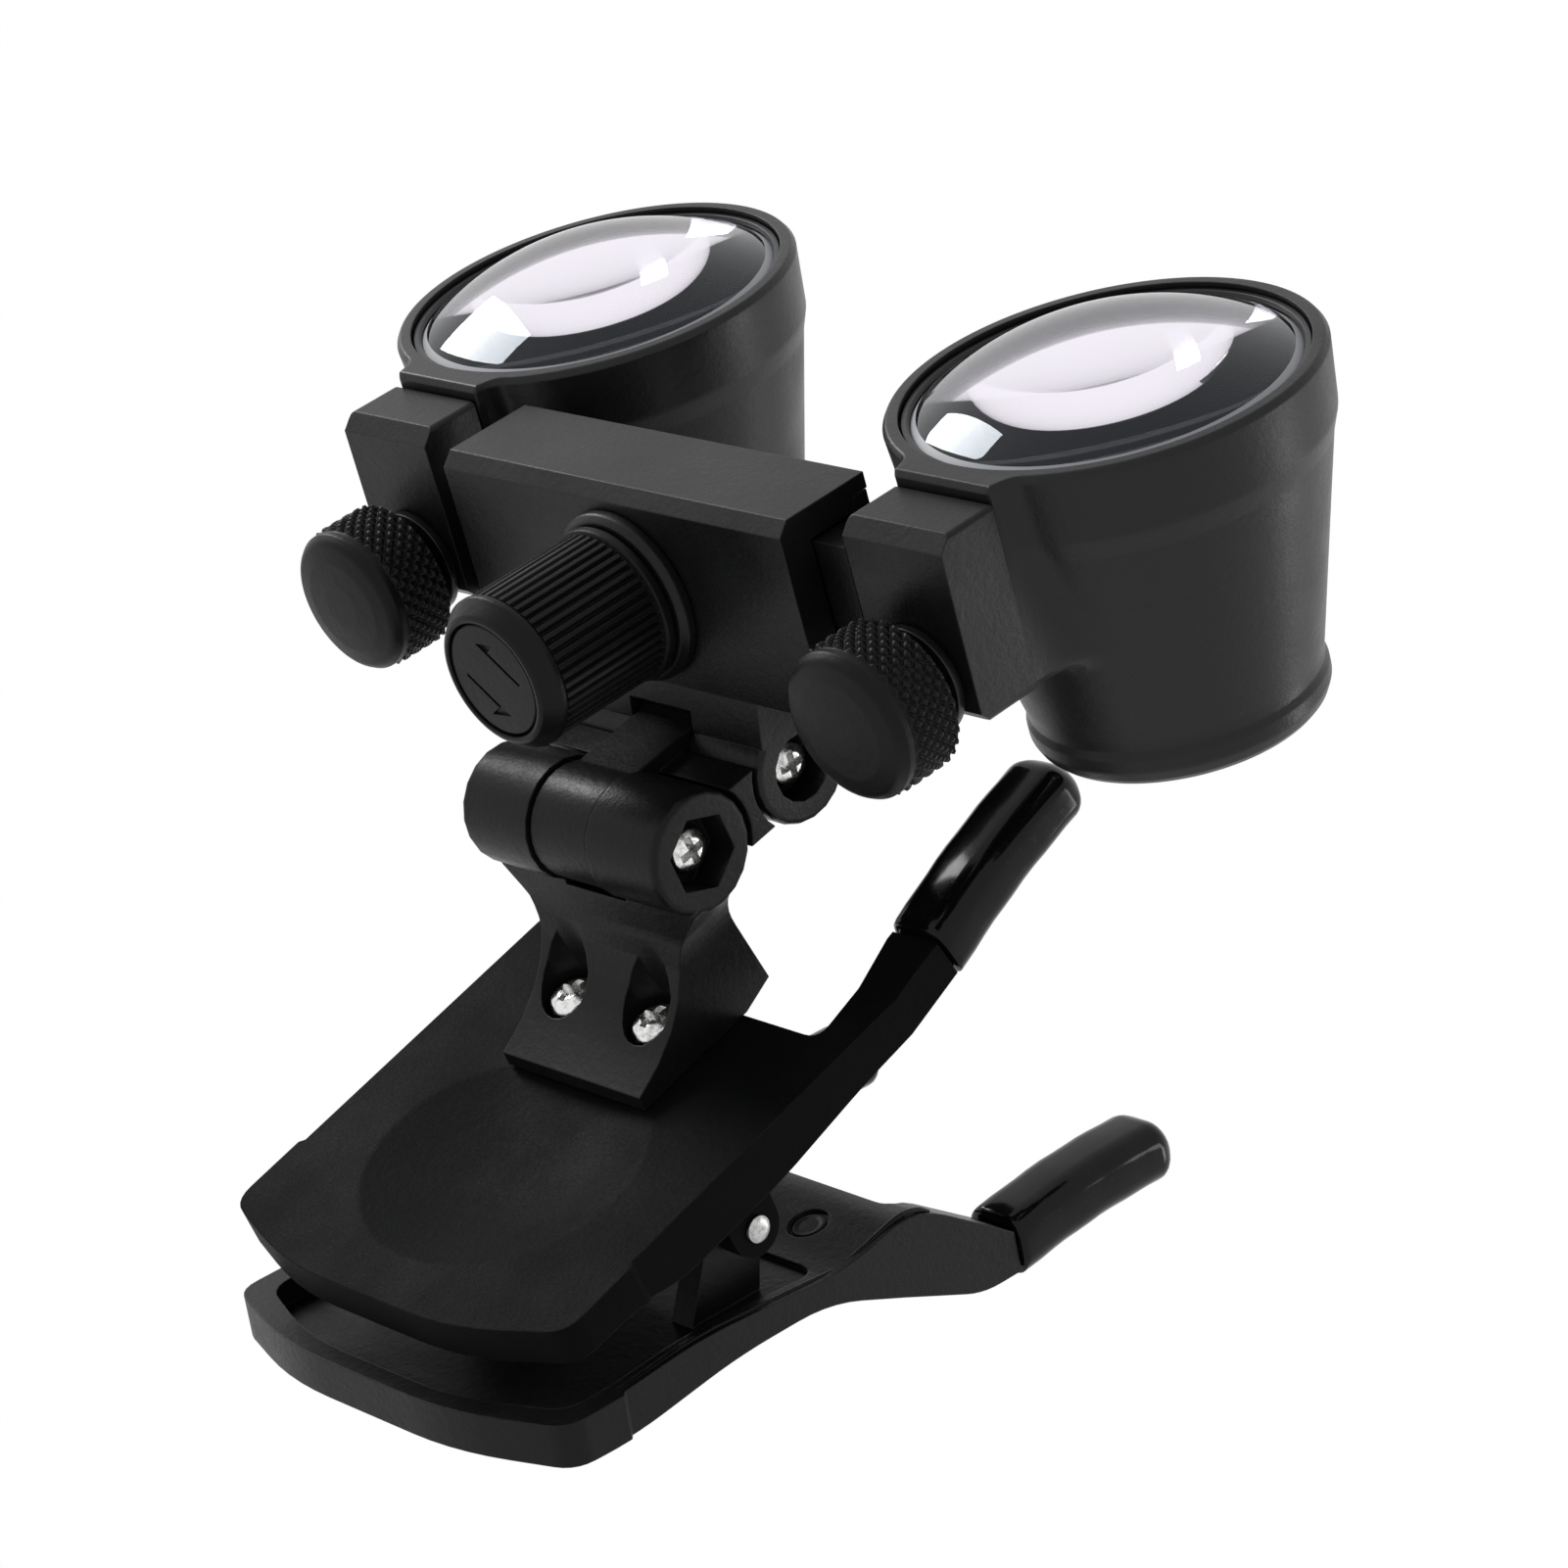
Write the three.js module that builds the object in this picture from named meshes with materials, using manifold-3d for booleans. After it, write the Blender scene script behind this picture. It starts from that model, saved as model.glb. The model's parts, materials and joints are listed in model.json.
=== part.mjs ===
// Clip-on binocular loupe: two short telescopes on a hinged head, carried by a sprung
// spectacle clip. Millimetres and degrees, +Z up as worn, +Y the way the wearer looks,
// +X the wearer's right. The origin lies between the front jaw's two sleeves, level with
// the middle of the faces that grip the spectacle lenses.

import * as THREE from 'three';
import { mergeVertices } from 'three/addons/utils/BufferGeometryUtils.js';
import Module from 'manifold-3d';

const wasm = await Module();
wasm.setup();

// Driving dimensions shared by several pieces
const barrelSpacing = 62;
const seatGap = 0.3;
const runningGap = 0.35;
const overrun = 1;
const weld = 0.0001;
const roundShare = 0.46;
const barrelSides = 40;
const roundSides = 32;
const smallSides = 14;
const curveSides = 5;
const eyeSides = 20;
const hexSides = 6;

// Both jaws of the spectacle clip. The front jaw's own frame has y = 0 on its front face
// and z = 0 at the edge between its arms; the rear jaw's own frame has its origin on the pin.
const jaw = {
  halfWidth: 21,
  rimWall: 1.8,
  skin: 2,
  armWidth: 5.4,
  armRootWidth: 3.5,
  armDepth: 3.8,
  armFillet: 1.6,
  tongueWidth: 4.2,
  tongueDepth: 3,
  tongueLength: 16.5,
  tailCorner: 2,
  tailBulge: 3.6,
  edgeStep: 0.45,
};

const frontJaw = {
  tailEdge: 34.6,
  armDrop: 12.4,
  armCentre: -0.7,
  sleeveLean: 10.2,
  depthAtFork: 4,
  depthAtPivot: 5,
  depthAtTail: 3.4,
  pivotDeepStart: 11,
  pivotDeepEnd: 23,
  tailThinStart: 28,
  stepHeight: 26.4,
  dishHeight: 21.5,
  dishAcross: 30,
  dishAlong: 26,
  dishRound: 10,
  dishDepth: 1.2,
  lugInset: 1.5,
  lugWidth: 2.4,
  lugRadius: 2.5,
  bossRadius: 2.3,
  bossDepth: 4.4,
};

const rearJaw = {
  restLean: 17,
  forkEdge: -15.6,
  sleeveStart: -26,
  tailEdge: 23.4,
  sleeveLean: 3,
  armCentre: -13.9,
  floor: 1.8,
  ridgeAtTail: -6.2,
  ridgeAtPivot: -5.7,
  dipForward: -6.8,
  dipHeight: -7.5,
  crestForward: -4.9,
  crestHeight: -15.6,
  crestRound: 5.5,
  backAtTip: -9.8,
  backAtTail: -10.3,
  backAtPivot: -8.8,
  backAtFork: -12.4,
  wristHeight: -21.5,
  tailBendStart: 17,
  pivotFlat: 10.4,
  backBendStart: -5,
  pocketEnd: -5.6,
  lugRadius: 2.9,
  lugWidth: 2.5,
  lugHeel: -1.2,
  lugToe: 6.5,
  markAcross: 13.2,
  markHeight: -10.4,
  markRadius: 1.9,
  markDepth: 0.25,
  markForward: -6.2,
  markLean: 13.2,
};

const sleeve = {
  width: 6.5,
  depth: 5.6,
  length: 19.6,
  corner: 2,
  tipRound: 1.3,
  mouthRound: 0.3,
};

const pin = {
  behindFace: 7.9,
  aboveFork: 14.1,
  radius: 0.85,
  headRadius: 1.2,
  headLength: 0.4,
};

const spring = {
  wireRadius: 0.58,
  coilRadius: 2.1,
  coilWidth: 9.79,
  pitch: 1.78,
  lastCurlShare: 0.5,
  legLength: 14,
  frontLegSpread: 2.7,
  stepsPerCurl: 8,
  gapSamples: 4,
  wireSides: 5,
};

// Two-hinge neck between the clip and the head. Both hinges run along X.
const hinge = {
  bracketRadius: 5.25,
  headRadius: 4.9,
  halfLength: 12.2,
  knuckleHalf: 3.5,
  sideGap: 0.3,
  screwRadius: 1.4,
  boreGap: 0.15,
  screwHeadRadius: 2.1,
  screwHeadLength: 1.6,
  screwHeadSink: 1.2,
  pocketDepth: 3,
  hexPocketRadius: 3.45,
  roundPocketRadius: 2.9,
  nutAcrossFlats: 5.5,
  nutThickness: 2.2,
  screwTail: 0.5,
  endRound: 0.6,
};

const link = {
  length: 12.1,
  lean: -2.6,
  neckHalf: 4.2,
  waistHalf: 2.9,
  wingInset: 0.2,
  wingGap: 0.36,
};

const bracket = {
  hingeForward: 17.6,
  hingeHeight: -0.9,
  halfWidth: 8.7,
  footLow: -3.7,
  footRise: 1.2,
  chinForward: 8.8,
  chinHeight: -2.8,
  chinAngle: 200,
  toeHeight: 1.5,
  toeTop: 12.4,
  scoopForward: 4.4,
  scoopHeight: 2.8,
  scoopSteps: 6,
  throatAngle: 140,
  flareStart: 6,
  flareEnd: 13.4,
  edgeRound: 0.6,
  screwAcross: 5.2,
  screwHeight: 5.9,
  recessRadius: 2.75,
  recessFloor: 2.1,
  recessReach: 12,
  screwRadius: 1,
  screwHeadRadius: 2.25,
  screwHeadLength: 1.6,
  screwLength: 6,
};

// The head's own frame has its origin on the upper hinge, y along the optical axes and z
// square to them. It is tipped down from the clip by the declination.
const head = {
  declination: 9.9,
  axisBelow: 24.9,
  rimAhead: 26.3,
};

const housing = {
  endGap: 5,
  top: 24.85,
  bottom: 7.3,
  back: -7,
  front: 2.8,
  topBevel: 1.15,
  bottomBevel: 1.2,
  cornerCut: 4.2,
  frontWall: 3,
  roof: 2.6,
  floor: 1.2,
  coverThickness: 1.6,
  coverRebate: 1.4,
  lugFront: 2.8,
  earFillet: 2.2,
  coverLow: 3.2,
  coverScrewAcross: 8,
  coverScrewHeight: 5.2,
  coverScrewRadius: 0.8,
  coverScrewHeadRadius: 1.6,
  coverScrewHeadLength: 0.8,
  coverScrewLength: 5,
};

const gear = {
  module: 0.6,
  teeth: 10,
  pressureAngle: 20,
  backlash: 0.22,
  addendumShare: 0.9,
  dedendumShare: 1.25,
  flankSteps: 4,
};

const knob = {
  height: 15.4,
  shaftRadius: 1.5,
  shaftGap: 0.15,
  bushRadius: 2.6,
  collarRadius: 7.6,
  collarHeight: 1.3,
  collarRound: 0.5,
  skirtRadius: 6.9,
  skirtHeight: 0.9,
  ribRadius: 6.65,
  ribDepth: 0.42,
  ribs: 40,
  crestStartShare: 0.28,
  crestEndShare: 0.72,
  ribTop: 16.4,
  shoulderRadius: 6.75,
  tipRadius: 5.45,
  tip: 18.4,
  capRadius: 5.1,
  capThickness: 1,
  capSink: 0.15,
  boreEnd: 14.2,
  washerRadius: 2.9,
  washerThickness: 0.4,
};

const slider = {
  inboard: 5.2,
  outboard: 5.8,
  top: 25.1,
  bottom: 8.7,
  front: 0.7,
  back: -5.5,
  topBevel: 1.3,
  sideBevel: 0.5,
  neckHalfHeight: 3.8,
  neckFront: -0.5,
  neckBack: -4.9,
  neckReach: 12,
  neckGroove: 1.6,
  neckGrooveDepth: 1,
  rackHeight: 3.5,
  rackFront: -1,
  rackReach: 12.5,
  screwHoleRadius: 1.7,
};

const thumb = {
  height: 12.3,
  washerRadius: 4.7,
  washerThickness: 0.8,
  hubRadius: 4,
  knurlBack: 3.3,
  knurlFront: 8.1,
  knurlRadius: 6.55,
  knurlDepth: 0.34,
  knurlsAround: 22,
  knurlsAlong: 3,
  domeRadius: 6.2,
  domeHeight: 2.1,
  domeRound: 1.1,
  domeSeam: 0.25,
  domeSteps: 4,
  shankRadius: 1.45,
  shankReach: 4,
};

const barrel = {
  length: 30.8,
  rimRadius: 18.1,
  bandRadius: 17.7,
  bandLength: 5.6,
  waistRadius: 12.6,
  lipStart: 3.6,
  lipRadius: 12.5,
  endRadius: 12,
  endRound: 0.5,
  rimRound: 0.5,
  wall: 1.5,
  lensSeatRadius: 16.75,
  lensSeatDepth: 4.6,
  ledgeRadius: 15.2,
  eyeSeatRadius: 10.3,
  eyeSeatDepth: 3.6,
  eyeBoreRadius: 8.4,
  eyeFloor: 1.4,
  padHalfWidth: 5,
  padProud: 19.1,
  padLength: 17.4,
  padRound: 0.5,
  screwHoleRadius: 1.6,
  screwHoleDepth: 4.6,
};

const objective = {
  radius: 16.45,
  edgeDrop: 1.1,
  edgeThickness: 1.2,
  crown: 2.7,
  crownSteps: 4,
  backCrown: 0.8,
};

const retainer = {
  outerRadius: 16.75,
  innerRadius: 15.95,
  drop: 0.45,
};

const eyeLens = {
  radius: 10,
  thickness: 1.4,
  hollow: 0.9,
  hollowRadius: 8.2,
};

const eyeRing = {
  innerRadius: 8.6,
  thickness: 1,
  sink: 0.25,
};

// Colours and finishes
const finish = {
  moulded: { color: 0x1d1e20, roughness: 0.62, metalness: 0 },
  housing: { color: 0x202123, roughness: 0.58, metalness: 0 },
  barrel: { color: 0x222325, roughness: 0.6, metalness: 0 },
  rubber: { color: 0x0b0b0c, roughness: 0.22, metalness: 0 },
  chrome: { color: 0xc9ccd0, roughness: 0.25, metalness: 1 },
  steel: { color: 0x9a9da1, roughness: 0.35, metalness: 1 },
  brass: { color: 0xa8884a, roughness: 0.35, metalness: 1 },
  lens: { color: 0xb9bccb, roughness: 0.03, metalness: 0 },
  anodised: { color: 0x121213, roughness: 0.4, metalness: 0.4 },
};

const radians = THREE.MathUtils.degToRad;
const axisX = new THREE.Vector3(1, 0, 0);
const axisY = new THREE.Vector3(0, 1, 0);
const axisZ = new THREE.Vector3(0, 0, 1);

// Solids from closed geometry, and geometry back from solids

function toSolid(geometry) {
  const plain = geometry.clone();
  plain.deleteAttribute('normal');
  plain.deleteAttribute('uv');
  const merged = mergeVertices(plain, weld);
  const corners = Array.from(merged.index.array);
  const kept = [];
  for (let i = 0; i < corners.length; i += 3) {
    const [a, b, c] = corners.slice(i, i + 3);
    if (a !== b && b !== c && c !== a) kept.push(a, b, c);
  }
  return new wasm.Manifold(new wasm.Mesh({
    numProp: 3,
    vertProperties: new Float32Array(merged.attributes.position.array),
    triVerts: new Uint32Array(kept),
  }));
}

function toGeometry(solid) {
  const mesh = solid.getMesh();
  const indexed = new THREE.BufferGeometry();
  indexed.setAttribute('position', new THREE.BufferAttribute(mesh.vertProperties, mesh.numProp));
  indexed.setIndex(new THREE.BufferAttribute(mesh.triVerts, 1));
  const geometry = indexed.toNonIndexed();
  geometry.computeVertexNormals();
  return geometry;
}

function join(first, ...others) {
  return others.reduce((whole, next) => whole.add(next), first);
}

function cut(first, ...others) {
  return others.reduce((whole, next) => whole.subtract(next), first);
}

// An outline from corners [across, up, rounding]; a missing rounding leaves the corner sharp.
function outline(corners) {
  const shape = new THREE.Shape();
  const count = corners.length;
  const point = (i) => {
    const [across, up] = corners[(i + count) % count];
    return new THREE.Vector2(across, up);
  };
  corners.forEach((corner, i) => {
    const here = point(i);
    const toBefore = point(i - 1).sub(here);
    const toAfter = point(i + 1).sub(here);
    const most = Math.min(toBefore.length(), toAfter.length()) * roundShare;
    const round = Math.min(corner[2] ?? 0, most);
    const before = toBefore.setLength(round).add(here);
    const after = toAfter.setLength(round).add(here);
    if (i === 0) shape.moveTo(before.x, before.y);
    else shape.lineTo(before.x, before.y);
    if (round > 0) shape.quadraticCurveTo(here.x, here.y, after.x, after.y);
  });
  shape.closePath();
  return shape;
}

function mirrored(corners) {
  const left = corners.map(([across, up, round]) => [-across, up, round]).reverse();
  return outline([...corners, ...left]);
}

function ringOutline(radius, across = 0, up = 0) {
  const shape = new THREE.Shape();
  shape.absarc(across, up, radius, 0, 2 * Math.PI, false);
  return shape;
}

function polygonOutline(radius, sides, turn = 0) {
  const corners = [];
  for (let i = 0; i < sides; i += 1) {
    const angle = turn + (2 * Math.PI * i) / sides;
    corners.push([radius * Math.cos(angle), radius * Math.sin(angle)]);
  }
  return outline(corners);
}

// Points along the curve from one corner to another that leans toward a third between them.
function bend(from, toward, to, steps) {
  const curve = new THREE.QuadraticBezierCurve(
    new THREE.Vector2(...from), new THREE.Vector2(...toward), new THREE.Vector2(...to));
  return curve.getPoints(steps).map((point) => [point.x, point.y]);
}

// Prisms. The outline of prismX is [y, z], of prismY [x, z] and of prismZ [x, y].
function prism(shape, from, to, edge = 0, curveSegments = curveSides) {
  return new THREE.ExtrudeGeometry(shape, {
    depth: to - from - 2 * edge,
    bevelEnabled: edge > 0,
    bevelThickness: edge,
    bevelSize: edge,
    bevelOffset: -edge,
    bevelSegments: 2,
    curveSegments,
  }).translate(0, 0, edge);
}

function prismX(shape, from, to, edge, curveSegments) {
  const turn = new THREE.Matrix4().makeBasis(axisY, axisZ, axisX);
  return prism(shape, from, to, edge, curveSegments).applyMatrix4(turn).translate(from, 0, 0);
}

function prismY(shape, from, to, edge, curveSegments) {
  const turn = new THREE.Matrix4().makeBasis(axisX, axisZ, axisY.clone().negate());
  return prism(shape, from, to, edge, curveSegments).applyMatrix4(turn).translate(0, to, 0);
}

function prismZ(shape, from, to, edge, curveSegments) {
  return prism(shape, from, to, edge, curveSegments).translate(0, 0, from);
}

function block(x, y, z) {
  const size = [x, y, z].map(([low, high]) => high - low);
  const middle = [x, y, z].map(([low, high]) => (low + high) / 2);
  return toSolid(new THREE.BoxGeometry(...size).translate(...middle));
}

function rod(radius, from, to, sides) {
  return new THREE.CylinderGeometry(radius, radius, to - from, sides).translate(0, (from + to) / 2, 0);
}

function rodX(radius, from, to, y = 0, z = 0, sides = smallSides) {
  return toSolid(rod(radius, -to, -from, sides).rotateZ(Math.PI / 2).translate(0, y, z));
}

function rodY(radius, from, to, x = 0, z = 0, sides = smallSides) {
  return toSolid(rod(radius, from, to, sides).translate(x, 0, z));
}

function rodZ(radius, from, to, x = 0, y = 0, sides = smallSides) {
  return toSolid(rod(radius, from, to, sides).rotateX(Math.PI / 2).translate(x, y, 0));
}

// A turned body about Z from [radius, height] points that rise from the axis back to it.
function turnedZ(profile, sides = roundSides) {
  const points = profile.map(([radius, height]) => new THREE.Vector2(radius, height));
  return toSolid(new THREE.LatheGeometry(points, sides).rotateX(Math.PI / 2));
}

// A turned body about Y.
function turnedY(profile, sides = roundSides) {
  const points = profile.map(([radius, height]) => new THREE.Vector2(radius, height));
  return toSolid(new THREE.LatheGeometry(points, sides));
}

function hexagonX(acrossFlats, from, to) {
  const radius = acrossFlats / 2 / Math.cos(Math.PI / hexSides);
  return toSolid(prismX(polygonOutline(radius, hexSides), from, to));
}

function moved(solid, x, y, z) {
  return toSolid(toGeometry(solid).translate(x, y, z));
}

function mirrorX(solid) {
  const geometry = toGeometry(solid).scale(-1, 1, 1);
  const positions = geometry.getAttribute('position');
  for (let i = 0; i < positions.count; i += 3) {
    const second = [positions.getX(i + 1), positions.getY(i + 1), positions.getZ(i + 1)];
    positions.setXYZ(i + 1, positions.getX(i + 2), positions.getY(i + 2), positions.getZ(i + 2));
    positions.setXYZ(i + 2, ...second);
  }
  return toSolid(geometry);
}

function piece(name, solid, look) {
  const mesh = new THREE.Mesh(toGeometry(solid), new THREE.MeshStandardMaterial(look));
  mesh.name = name;
  return mesh;
}

function grouped(...members) {
  const group = new THREE.Group();
  group.add(...members);
  return group;
}

// Spectacle clip

function jawOutline(forkEdge, tailEdge, armEnd, stepHeight) {
  const inner = jaw.halfWidth - jaw.armWidth;
  const innerRoot = jaw.halfWidth - jaw.armRootWidth;
  const tailHalf = jaw.halfWidth + jaw.edgeStep;
  return mirrored([
    [innerRoot, forkEdge, jaw.armFillet],
    [inner, forkEdge - frontJaw.armDrop, 0],
    [inner, armEnd, 0],
    [jaw.halfWidth, armEnd, 0],
    [jaw.halfWidth, stepHeight, 0],
    [tailHalf, stepHeight + jaw.edgeStep, 0],
    [tailHalf, tailEdge, jaw.tailCorner],
    [tailHalf / 2, tailEdge + jaw.tailBulge, tailHalf / 3],
  ]);
}

function pocketOutline(low, tailEdge) {
  const half = jaw.halfWidth - jaw.rimWall;
  return mirrored([
    [half, low, jaw.tailCorner],
    [half, tailEdge - jaw.rimWall, jaw.tailCorner],
    [half / 2, tailEdge + jaw.tailBulge - jaw.rimWall, half / 3],
  ]);
}

// The arm's end inside a sleeve, in the sleeve's own frame: z runs down the sleeve.
function armTongue() {
  return new THREE.BoxGeometry(jaw.tongueWidth, jaw.tongueDepth, jaw.tongueLength + overrun)
    .translate(0, 0, (overrun - jaw.tongueLength) / 2);
}

function frontArmCentre() {
  return [jaw.halfWidth - jaw.armWidth / 2, frontJaw.armCentre, -frontJaw.armDrop];
}

function rearArmCentre() {
  return [jaw.halfWidth - jaw.armWidth / 2, rearJaw.armCentre, rearJaw.sleeveStart];
}

// Where the lens touches: the middle of a front sleeve's back face, halfway between the sleeves.
function gripPoint() {
  const lean = radians(frontJaw.sleeveLean);
  const [, y, z] = frontArmCentre();
  const along = (seatGap + sleeve.length) / 2;
  const back = sleeve.depth / 2;
  return [
    0,
    y + along * Math.sin(lean) - back * Math.cos(lean),
    z - along * Math.cos(lean) - back * Math.sin(lean),
  ];
}

function frontSideProfile() {
  const lean = radians(frontJaw.sleeveLean);
  const half = jaw.armDepth / 2;
  const [, y, z] = frontArmCentre();
  const tail = frontJaw.tailEdge + jaw.tailBulge + overrun;
  return outline([
    [0, tail],
    [-frontJaw.depthAtTail, tail],
    [-frontJaw.depthAtTail, frontJaw.tailThinStart, frontJaw.depthAtTail],
    [-frontJaw.depthAtPivot, frontJaw.pivotDeepEnd, frontJaw.depthAtTail],
    [-frontJaw.depthAtPivot, frontJaw.pivotDeepStart, frontJaw.depthAtTail],
    [-frontJaw.depthAtFork, 0, frontJaw.depthAtTail],
    [-jaw.armDepth, z / 2, 0],
    [y - half * Math.cos(lean), z - half * Math.sin(lean)],
    [y + half * Math.cos(lean), z + half * Math.sin(lean)],
    [0, z / 2],
  ]);
}

function frontClipPlate() {
  const armEnd = -frontJaw.armDrop - sleeve.depth;
  const shape = jawOutline(0, frontJaw.tailEdge, armEnd, frontJaw.stepHeight);
  const faces = toSolid(prismY(shape, -2 * frontJaw.depthAtPivot, overrun));
  const side = toSolid(prismX(frontSideProfile(), -jaw.halfWidth - overrun, jaw.halfWidth + overrun));
  const pocket = toSolid(prismY(
    pocketOutline(jaw.rimWall, frontJaw.tailEdge), -2 * frontJaw.depthAtPivot, -jaw.skin));
  const dish = toSolid(new THREE.SphereGeometry(1, roundSides, eyeSides)
    .scale(frontJaw.dishAcross, frontJaw.dishRound, frontJaw.dishAlong)
    .translate(0, frontJaw.dishRound - frontJaw.dishDepth, frontJaw.dishHeight));
  let plate = cut(faces.intersect(side), pocket, dish);
  for (const sign of [-1, 1]) {
    const [x, y, z] = frontArmCentre();
    const tongue = armTongue().rotateX(radians(frontJaw.sleeveLean)).translate(sign * x, y, z);
    plate = join(plate, toSolid(tongue), frontLug(sign), screwBoss(sign));
    plate = cut(plate, screwHole(sign));
  }
  return cut(plate, pinBore(-pin.behindFace, pin.aboveFork));
}

// The front jaw's lugs stand outside the rear jaw's: each pair of values is the inner and the
// outer face of one lug.
function frontLugFaces() {
  const outer = jaw.halfWidth - frontJaw.lugInset;
  return [outer - frontJaw.lugWidth, outer];
}

function rearLugFaces() {
  const outer = frontLugFaces()[0] - runningGap;
  return [outer - rearJaw.lugWidth, outer];
}

function lugSpan(sign, [inner, outer]) {
  return sign > 0 ? [inner, outer] : [-outer, -inner];
}

function pinBore(y, z) {
  const reach = frontLugFaces()[1] + overrun;
  return rodX(pin.radius + hinge.boreGap, -reach, reach, y, z);
}

function frontLug(sign) {
  const base = frontJaw.lugRadius + seatGap;
  const shape = outline([
    [-pin.behindFace, pin.aboveFork - frontJaw.lugRadius],
    [-jaw.skin + seatGap, pin.aboveFork - base],
    [-jaw.skin + seatGap, pin.aboveFork + base],
    [-pin.behindFace, pin.aboveFork + frontJaw.lugRadius],
  ]);
  const [near, far] = lugSpan(sign, frontLugFaces());
  const web = toSolid(prismX(shape, near, far));
  return join(web, rodX(frontJaw.lugRadius, near, far, -pin.behindFace, pin.aboveFork, eyeSides));
}

function screwBoss(sign) {
  const x = sign * bracket.screwAcross;
  return rodY(frontJaw.bossRadius, -frontJaw.bossDepth, -jaw.skin + seatGap, x, bracket.screwHeight);
}

function screwHole(sign) {
  const x = sign * bracket.screwAcross;
  const radius = bracket.screwRadius + hinge.boreGap;
  return rodY(radius, -frontJaw.bossDepth - overrun, overrun, x, bracket.screwHeight);
}

function sleeveTube() {
  const halfWidth = sleeve.width / 2;
  const halfDepth = sleeve.depth / 2;
  const section = mirrored([
    [halfWidth, -halfDepth, sleeve.corner],
    [halfWidth, halfDepth, sleeve.corner],
  ]);
  const full = new THREE.ExtrudeGeometry(section, {
    depth: sleeve.length,
    bevelEnabled: true,
    bevelThickness: sleeve.tipRound,
    bevelSize: sleeve.tipRound,
    bevelOffset: -sleeve.tipRound,
    bevelSegments: 4,
    curveSegments: 5,
  }).translate(0, 0, -sleeve.length - seatGap + sleeve.tipRound);
  const mouth = block(
    [-sleeve.width, sleeve.width],
    [-sleeve.width, sleeve.width],
    [-seatGap, sleeve.length],
  );
  const bore = block(
    [-jaw.tongueWidth / 2 - seatGap, jaw.tongueWidth / 2 + seatGap],
    [-jaw.tongueDepth / 2 - seatGap, jaw.tongueDepth / 2 + seatGap],
    [-jaw.tongueLength - seatGap, sleeve.length],
  );
  return cut(toSolid(full), mouth, bore);
}

function placedSleeve(name, [x, y, z], lean) {
  const tube = piece(name, sleeveTube(), finish.rubber);
  const holder = grouped(tube);
  holder.position.set(x, y, z);
  holder.rotation.x = radians(lean);
  return holder;
}

function clipPin() {
  const seat = frontLugFaces()[1] + seatGap / 2;
  const end = seat + pin.headLength;
  const head = [rodX(pin.headRadius, seat, end), rodX(pin.headRadius, -end, -seat)];
  return moved(join(rodX(pin.radius, -end, end), ...head), 0, -pin.behindFace, pin.aboveFork);
}

// Whole curls and a last half one, so that the two legs leave on opposite sides.
function springCurls() {
  return Math.floor(spring.coilWidth / spring.pitch) + spring.lastCurlShare;
}

// The torsion spring's wire: up one leg's side, round the coil, and up the other leg.
class SpringCurve extends THREE.Curve {
  constructor() {
    super();
    this.curls = springCurls();
    this.coilLength = 2 * Math.PI * spring.coilRadius * this.curls;
    this.total = this.coilLength + 2 * spring.legLength;
  }

  getPoint(share, target = new THREE.Vector3()) {
    const along = share * this.total;
    const halfCoil = spring.coilWidth / 2;
    if (along < spring.legLength) {
      return target.set(-halfCoil, -spring.coilRadius, spring.legLength - along);
    }
    if (along > spring.legLength + this.coilLength) {
      const up = along - spring.legLength - this.coilLength;
      const spread = frontLegForward(up);
      return target.set(halfCoil, spring.coilRadius + spread, up);
    }
    const turn = (along - spring.legLength) / spring.coilRadius;
    const angle = Math.PI + turn;
    const x = -halfCoil + (spring.coilWidth * turn) / (2 * Math.PI * this.curls);
    return target.set(x, spring.coilRadius * Math.cos(angle), spring.coilRadius * Math.sin(angle));
  }
}

function frontLegForward(up) {
  const share = up / spring.legLength;
  return spring.frontLegSpread * share * share;
}

function torsionSpring() {
  const path = new SpringCurve();
  const steps = Math.round((spring.stepsPerCurl * path.total * path.curls) / path.coilLength);
  const shape = polygonOutline(spring.wireRadius, spring.wireSides);
  const wire = new THREE.ExtrudeGeometry(shape, { steps, extrudePath: path, bevelEnabled: false });
  reportSpringGap(path, steps);
  return toSolid(wire.translate(0, -pin.behindFace, pin.aboveFork));
}

// Least gap of the wire to itself, measured between points more than half a curl apart.
function reportSpringGap(path, steps) {
  const fine = steps * spring.gapSamples;
  const points = path.getSpacedPoints(fine);
  const skip = Math.ceil((fine * path.coilLength) / (2 * path.curls * path.total));
  let least = Infinity;
  for (let i = 0; i < points.length; i += 1) {
    for (let j = i + skip; j < points.length; j += 1) {
      least = Math.min(least, points[i].distanceTo(points[j]));
    }
  }
  console.log(`torsion spring: least gap to itself ${(least - 2 * spring.wireRadius).toFixed(2)} mm`);
}

// Rear jaw, in its own frame: the pin is the origin and z runs up its plate.

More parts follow.
